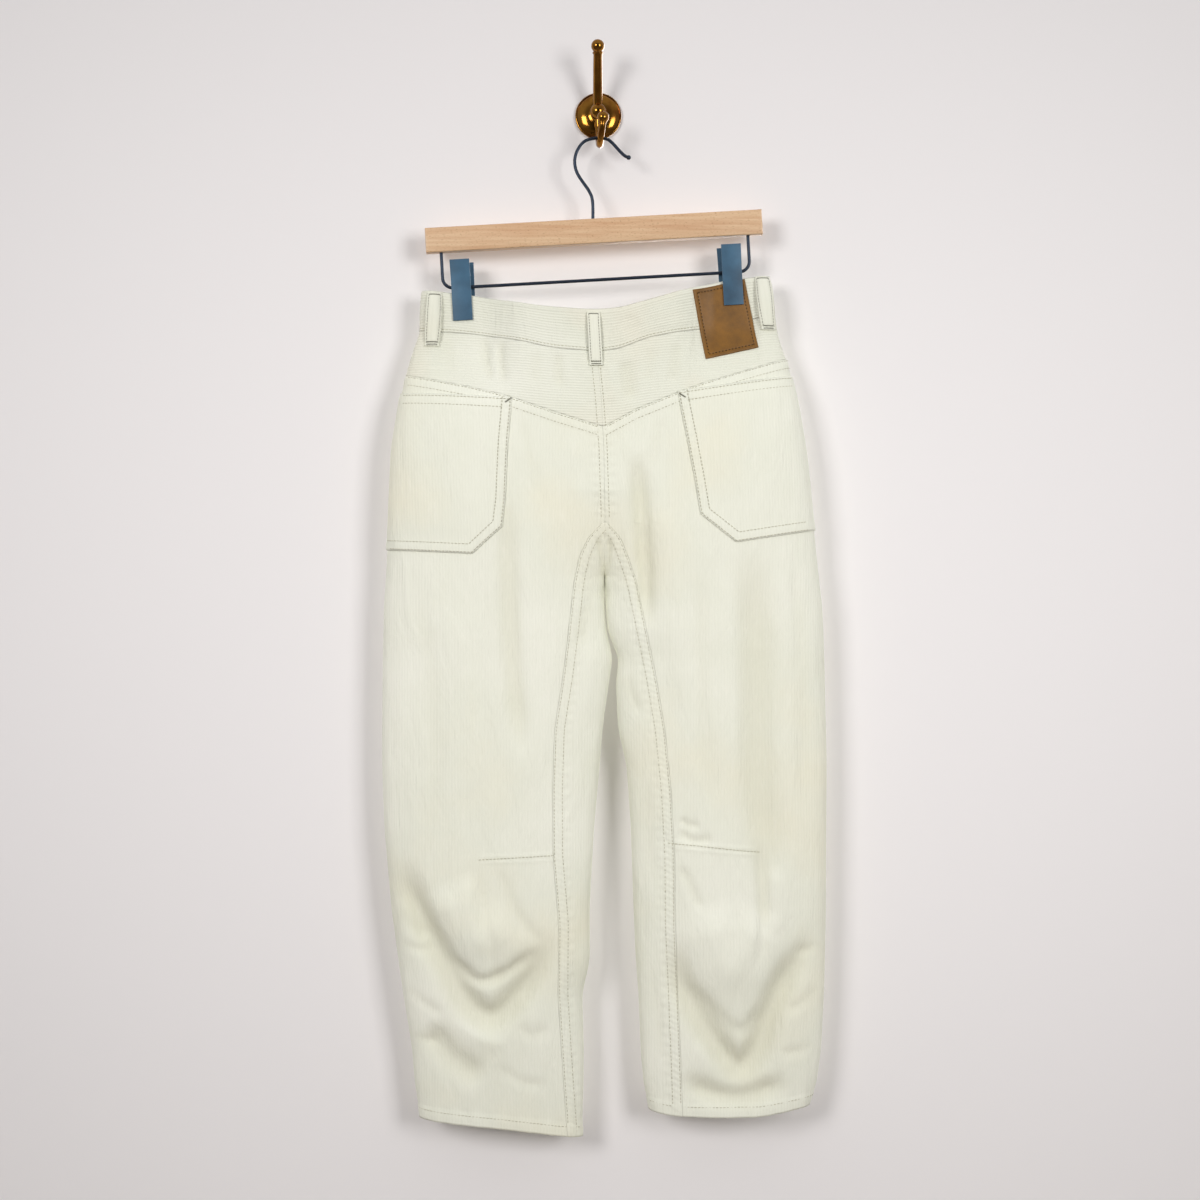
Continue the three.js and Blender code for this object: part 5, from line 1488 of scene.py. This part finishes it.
def tube(name, node, slot, route, radii, material, sides=16, into=None):
    """Round bar along a route, with a rounded cap at each end."""
    route = np.array(route, float)
    radii = np.broadcast_to(np.asarray(radii, float), (len(route),))
    run = unit(np.gradient(route, axis=0))
    first = unit(np.cross(run[0], (0.3, 1, 0.2)))
    angle = (np.arange(sides) * FULL_TURN / sides)[:, None]
    # Rings of a cap, as shares of the radius: how far out, and how wide
    cap = [(0.5, 0.02), (0.42, 0.55), (0.22, 0.9)]
    points = []
    for i, (centre, ahead, radius) in enumerate(zip(route, run, radii)):
        first = unit(first - ahead * (first @ ahead))
        rim = first * np.cos(angle) + np.cross(ahead, first) * np.sin(angle)
        before = [(-forward, scale) for forward, scale in cap] if i == 0 else []
        after = cap[::-1] if i == len(route) - 1 else []
        for forward, scale in [*before, (0.0, 1.0), *after]:
            points.append(centre + ahead * forward * radius + rim * scale * radius)
    ends = [tuple(range(sides))[::-1], tuple(range((len(points) - 1) * sides, len(points) * sides))]
    mesh = new_mesh(name, np.concatenate(points), ring_faces(len(points), sides) + ends)
    if into is not None:
        mesh.transform(into)
    outward(mesh)
    mesh.shade_smooth()
    return as_piece(mesh, material, node)


def ball(name, node, slot, centre, radius, material, squash=1.0):
    """A turned ball on the end of a bar, about its own upright axis."""
    angles = np.linspace(0, math.pi, 25)
    profile = [(max(radius * math.sin(a), 1e-4), -radius * squash * math.cos(a)) for a in angles]
    return turned(name, node, slot, profile, 48, lambda points: points + centre, material)


hook_route = spline([(x, HANGER_Y, z) for x, z in HOOK_ROUTE])
tube("hook_wire", "hanger_hook", "dark_wire", hook_route, WIRE_RADIUS, plated)
ball("hook_tip", "hanger_hook", "dark_wire", (32.3, HANGER_Y, -52.9), 2.5, plated)

bend = np.linspace(0, math.pi / 2, 13)
left_half = [(-DROP_REACH, 0, z) for z in (-2.5, -20, -38)]
left_half += [
    (ROD_BEND * (1 - math.cos(a)) - DROP_REACH, 0, ROD_BEND * (1 - math.sin(a)) - ROD_DROP)
    for a in bend
]
right_half = [(-x, y, z) for x, y, z in reversed(left_half)]
level_end = DROP_REACH - ROD_BEND - 6
level_part = [(x, 0, -ROD_DROP) for x in np.linspace(-level_end, level_end, 30)]
rod_route = left_half + level_part + right_half
tube("rod_wire", "hanger_wire", "dark_wire", rod_route, WIRE_RADIUS, plated, into=to_hanger)

# Clips
# Each clip is two plates of bent sheet steel, stove-enamelled in satin blue-grey, and a coil
# spring round the rod that presses their jaws together on the waistband.
CLIP_REACH = 144
COIL_TURNS = 7
COIL_LENGTH = 10.6
COIL_RADIUS = 2.85
COIL_WIRE = 0.68
FAR_SHIFT = 3.2
enamel, tree, body = new_material("satin_enamel")
rubbed = ramp(tree, noise(tree, body, 38, 4), (0.3, "2C4A60"), (0.7, "3C647F"))
orange_peel = bump(tree, noise(tree, body, 420), 0.15, 0.0002)
shaded(tree, rubbed, orange_peel, Roughness=0.42, IOR=1.5)

for side, place in SIDES.items():
    for which in ("near", "far"):
        name = "%s_%s_plate" % (side, which)
        plate = refined("clip_" + name, "enamelled_" + name, enamel, 0.45)
        if which == "far":
            # The far plate sits a little nearer the middle of the rod: it shows as a dark strip.
            plate.data.transform(Matrix.Translation((-place["sign"] * FAR_SHIFT * MM, 0, 0)))
    wound = np.linspace(0, COIL_TURNS, COIL_TURNS * 18)
    x = place["sign"] * CLIP_REACH + (wound / COIL_TURNS - 0.5) * COIL_LENGTH
    y, z = COIL_RADIUS * np.cos(wound * FULL_TURN), COIL_RADIUS * np.sin(wound * FULL_TURN)
    coil = np.stack([x, y, z - ROD_DROP], axis=-1)
    spring = ("coil_spring_" + side, "clip_%s_spring" % side, "dark_wire")
    tube(*spring, coil, COIL_WIRE, plated, sides=8, into=to_hanger)

# Wall plate
# Cast and turned brass rose, polished and lightly aged: a rolled rim and a smooth dome,
# browned where it is seldom rubbed and bright on the edges.
aged_brass, tree, body = new_material("aged_brass")
tarnish = noise(tree, body, 70, 5, Roughness=0.6)
grooves = add(tree, "ShaderNodeNewGeometry", out="Pointiness")
dirt = reckon(tree, "ADD", tarnish, ranged(tree, grooves, 0.5, 0.42, 0.0, 1.0))
shaded(tree, ramp(tree, dirt, (0.42, "94682A"), (0.85, "5E2C10")), Metallic=1.0,
       Roughness=ranged(tree, tarnish, 0, 1, 0.07, 0.2))

ROSE_PROFILE = ((1e-4, 0), (24.6, 0), (25, -0.4), (25.1, -1.1), (25, -1.8), (24.6, -2.4),
                (24, -2.7), (23.4, -2.6), (23, -2.5), (22.6, -2.8), (21.8, -3.7), (20.6, -4.5),
                (19.2, -5.2), (17.6, -5.8), (16, -6.3), (14.2, -6.7), (12.4, -7), (10.8, -7.2),
                (9.8, -7.4), (8.9, -7.9), (1e-4, -8.0))


def about_plate(points):
    return points[:, [0, 2, 1]]


turned("brass_rose", "wall_plate", "brass", ROSE_PROFILE, 96, about_plate, aged_brass)

# Wall hook
# One brass casting on the rose: a turned boss, an arm that rises to a ball and a lower arm
# that dips and comes up to a smaller ball. The hanger's hook lies over the lower arm.
UPPER_ARM = ((-0.7, -13.5, 4), (-0.7, -19, 12), (-0.7, -27, 26), (-0.7, -37, 42), (-0.6, -46, 53),
             (-0.6, -50, 60))
LOWER_ARM = ((0, -12.5, -6), (0.4, -12, -18), (0.9, -17, -30), (1.3, -26, -37), (1.5, -34, -38),
             (2.6, -43, -33), (4, -49, -24), (4.9, -50, -15))
BOSS_PROFILE = ((1e-4, -8.2), (8.2, -8.2), (8.5, -8.7), (8.5, -10.4), (8.2, -11.4), (7.4, -12.2),
                (7.5, -12.9), (6.9, -14.0), (5.2, -15.2), (2.8, -15.9), (1e-4, -16.1))
casting = ("wall_hook", "brass")
turned("cast_boss", *casting, BOSS_PROFILE, 64, about_plate, aged_brass)
for name, arm, thick, thin in (("upper", UPPER_ARM, 5.3, 4.5), ("lower", LOWER_ARM, 4.2, 3.6)):
    route = spline(arm)
    radii = np.linspace(thick, thin, len(route))
    tube("cast_%s_arm" % name, *casting, route, radii, aged_brass, sides=32)
# Balls and collars: centre, radius and how flat each is
CAST_BALLS = {
    "upper_ball": ((-0.6, -50, 60), 7.0, 1.0),
    "lower_ball": ((4.9, -50, -15), 6.3, 1.0),
    "boss_ball": ((-0.2, -16.6, 0.8), 8.7, 1.0),
    "upper_collar": ((-0.6, -46.6, 53.8), 5.6, 0.42),
    "lower_collar": ((4.4, -49.8, -20.4), 4.6, 0.42),
}
for name, (centre, radius, squash) in CAST_BALLS.items():
    ball(name, *casting, centre, radius, aged_brass, squash)

bpy.context.view_layer.update()
